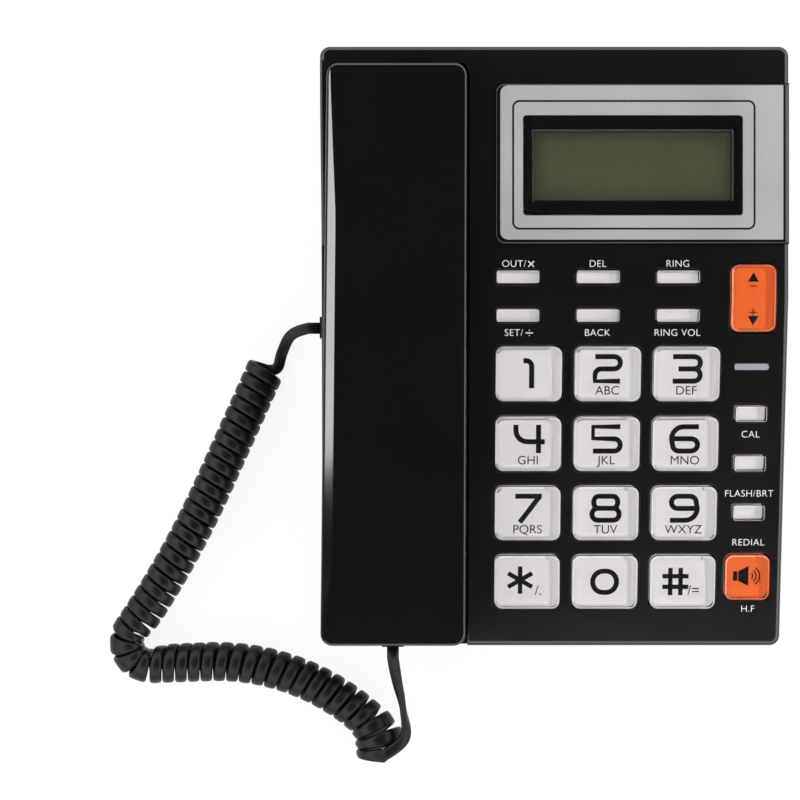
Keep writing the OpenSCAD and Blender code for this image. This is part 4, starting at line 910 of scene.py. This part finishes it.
for i in range(last + 1):
    beside = [k for k in (i - rings_per_curl, i + rings_per_curl) if 0 <= k <= last]
    room = min([limits[i] + curl_gap] + [(centres[i] - centres[k]).length for k in beside])
    coil_rings.append((centres[i], headings[i], room - curl_gap))

plug_end = handset @ Vector((0, -half_length - plug_show * mm, socket_height * mm)) / mm
deck_forward = Vector((0, -math.cos(deck_tilt), -math.sin(deck_tilt)))
base_plug_low, base_plug_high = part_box("plug_base")
base_end = (base_plug_low + base_plug_high) / 2 / mm
base_end.x = base_plug_low.x / mm


def smooth_through(points, steps):
    """A smooth curve through the points, from the second to the last but one."""
    found = []
    for a, b, c, d in zip(points, points[1:], points[2:], points[3:]):
        for i in range(steps):
            t = i / steps
            found.append(0.5 * (2 * b + (c - a) * t + (2 * a - 5 * b + 4 * c - d) * t ** 2
                                + (3 * b - a - 3 * c + d) * t ** 3))
    return found


lead = [plug_end] + smooth_through(
    [plug_end, plug_end + cord_width * deck_forward] + [Vector(p) for p in handset_tail_points]
    + [centres[0], centres[2]], tail_steps)
cord_rings = []
for i, centre in enumerate(lead):
    share = i / (len(lead) - 1)
    twist = math.pi * share
    edgewise = Vector((math.cos(twist), twist_lean * math.sin(twist), math.sin(twist)))
    cord_rings.append((centre, edgewise.lerp(headings[0], smooth_step(share, tail_joins, 1)), cord_width))
cord_rings += coil_rings
straight_in = [base_end - Vector((cord_width, 0, 0)), base_end]
follow = smooth_through([centres[last - 2], centres[last]] + [Vector(p) for p in base_tail_points]
                        + straight_in, tail_steps)[1:] + straight_in
for before, centre, after in zip([centres[last]] + follow, follow, follow[1:] + follow[-1:]):
    ahead = after - before
    cord_rings.append((centre, Vector((-ahead.y, ahead.x, 0)), cord_width))

cord = bmesh.new()
half_section = [(0.5, 0), (0.47, 0.27), (0.38, 0.43), (0.2, 0.5), (-0.2, 0.5), (-0.38, 0.43), (-0.47, 0.27)]
section = half_section + [(-x, -y) for x, y in half_section]
previous = None
for i, (centre, wide, width) in enumerate(cord_rings):
    along = (cord_rings[min(i + 1, len(cord_rings) - 1)][0] - cord_rings[max(i - 1, 0)][0]).normalized()
    wide = (wide - wide.dot(along) * along).normalized()
    thick = along.cross(wide)
    swell = cord_thickness * min(edge_swell, cord_width / width)
    ring = [cord.verts.new((centre + x * width * wide + y * swell * thick) * mm) for x, y in section]
    if previous:
        add_wall(cord, previous, ring)
    else:
        cord.faces.new(ring)
    previous = ring
cord.faces.new(previous)
bmesh.ops.recalc_face_normals(cord, faces=cord.faces)
curly_cord = mesh_object("curly_cord_jacket", cord, vinyl)
curly_cord.data.shade_smooth()
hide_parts("cord_tail_handset", "curly_cord", "cord_tail_base")
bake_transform(curly_cord)
paint(finish("smoked moulded polycarbonate", "#121213", 0.2, 2, 0.001, IOR=1.58), "plug_handset", "plug_base")

# Camera: above the telephone, looking square down on its display from 0.6 m. Its lens is given in pixels of
# an 800-pixel picture.
sensor, picture, lens_pixels = 36.0, 800, 1740
eye = (-53.3 * mm, -35.1 * mm, 600 * mm)
camera_data = bpy.data.cameras.new("camera")
camera_data.sensor_width = sensor
camera_data.lens = lens_pixels / picture * sensor
camera = add_object("camera", camera_data)
camera.matrix_world = display_plane @ Matrix.Translation(eye)
bpy.context.scene.camera = camera

# Floor: a matt white laminate table top, which the camera, reflections and clear plastic see as nearly pure
# white, and which keeps the telephone's shadow.
white_share, table_size = 0.88, 8
table_top = bmesh.new()
bmesh.ops.create_grid(table_top, x_segments=1, y_segments=1, size=table_size)
table_white = bpy.data.materials.new("white laminate")
table_white.use_nodes = True
table_tree = table_white.node_tree
table_surface = table_tree.nodes["Principled BSDF"]
table_surface.inputs["Base Color"].default_value = linear("#f7f7f7")
table_surface.inputs["Roughness"].default_value = 0.9
table_surface.inputs["Specular IOR Level"].default_value = 0.0
rays = add_node(table_tree, "ShaderNodeLightPath", {}).outputs
seen = rays["Is Camera Ray"]
for ray in ("Is Glossy Ray", "Is Transmission Ray"):
    seen = add_node(table_tree, "ShaderNodeMath", {0: seen, 1: rays[ray]}, operation="MAXIMUM").outputs[0]
share = add_node(table_tree, "ShaderNodeMath", {0: seen, 1: white_share}, operation="MULTIPLY")
glow = add_node(table_tree, "ShaderNodeEmission", {"Color": linear("#ffffff"), "Strength": 1.0})
whitened = add_node(table_tree, "ShaderNodeMixShader", {
    0: share.outputs[0], 1: table_surface.outputs[0], 2: glow.outputs[0]})
table_tree.links.new(whitened.outputs[0], table_tree.nodes["Material Output"].inputs["Surface"])
floor = mesh_object("table_top", table_top, table_white)

# Light: four even soft boxes side by side round the telephone. The left one is flagged off the handset's
# back, which alone catches a small bright strip along its facet instead. The studio is pale along the floor
# and dark overhead, so the face stays black from above.
SOFT_BOXES = [
    ("left_strip", (-0.62, 0.01, 0.58), (0, 0.01, 0.05), (0.44, 0.2), 3.3),
    ("left_box", (-0.8, 0.0, 0.6), (0, 0, 0.02), (1.6, 0.9), 11.8),
    ("right_box", (0.8, 0.0, 0.6), (0, 0, 0.02), (1.6, 0.9), 13.0),
    ("front_box", (0.0, -0.95, 0.65), (0, 0, 0.02), (1.9, 0.9), 13.6),
    ("rear_box", (0.0, 0.95, 0.7), (0, 0, 0.02), (1.9, 0.9), 13.6)]
for name, position, aim, (width, height), power in SOFT_BOXES:
    light = bpy.data.lights.new(name, "AREA")
    light.shape = "RECTANGLE"
    light.size, light.size_y = width, height
    light.energy = power
    lamp = add_object(name, light)
    lamp.location = position
    lamp.rotation_euler = (Vector(aim) - Vector(position)).to_track_quat("-Z", "Y").to_euler()
for name, link_state in (("left_strip", "INCLUDE"), ("left_box", "EXCLUDE")):
    flagged = bpy.data.collections.new(name + "_flag")
    flagged.objects.link(outer_shell)
    flagged.collection_objects[0].light_linking.link_state = link_state
    bpy.data.objects[name].light_linking.receiver_collection = flagged

studio = bpy.data.worlds.new("studio")
studio.use_nodes = True
bpy.context.scene.world = studio
studio_tree = studio.node_tree
way = add_node(studio_tree, "ShaderNodeTexCoord", {})
split = add_node(studio_tree, "ShaderNodeSeparateXYZ", {0: way.outputs["Generated"]})
fade = add_node(studio_tree, "ShaderNodeValToRGB", {"Fac": split.outputs["Z"]})
STUDIO_LEVELS = [(0.03, 0.9), (0.14, 0.35), (0.6, 0.04)]
fade.color_ramp.elements.new(0.5)
for stop, (height, level) in zip(fade.color_ramp.elements, STUDIO_LEVELS):
    stop.position = height
    stop.color = (level, level, level, 1)
studio_tree.links.new(fade.outputs["Color"], studio_tree.nodes["Background"].inputs["Color"])
bpy.context.scene.view_settings.view_transform = "Standard"
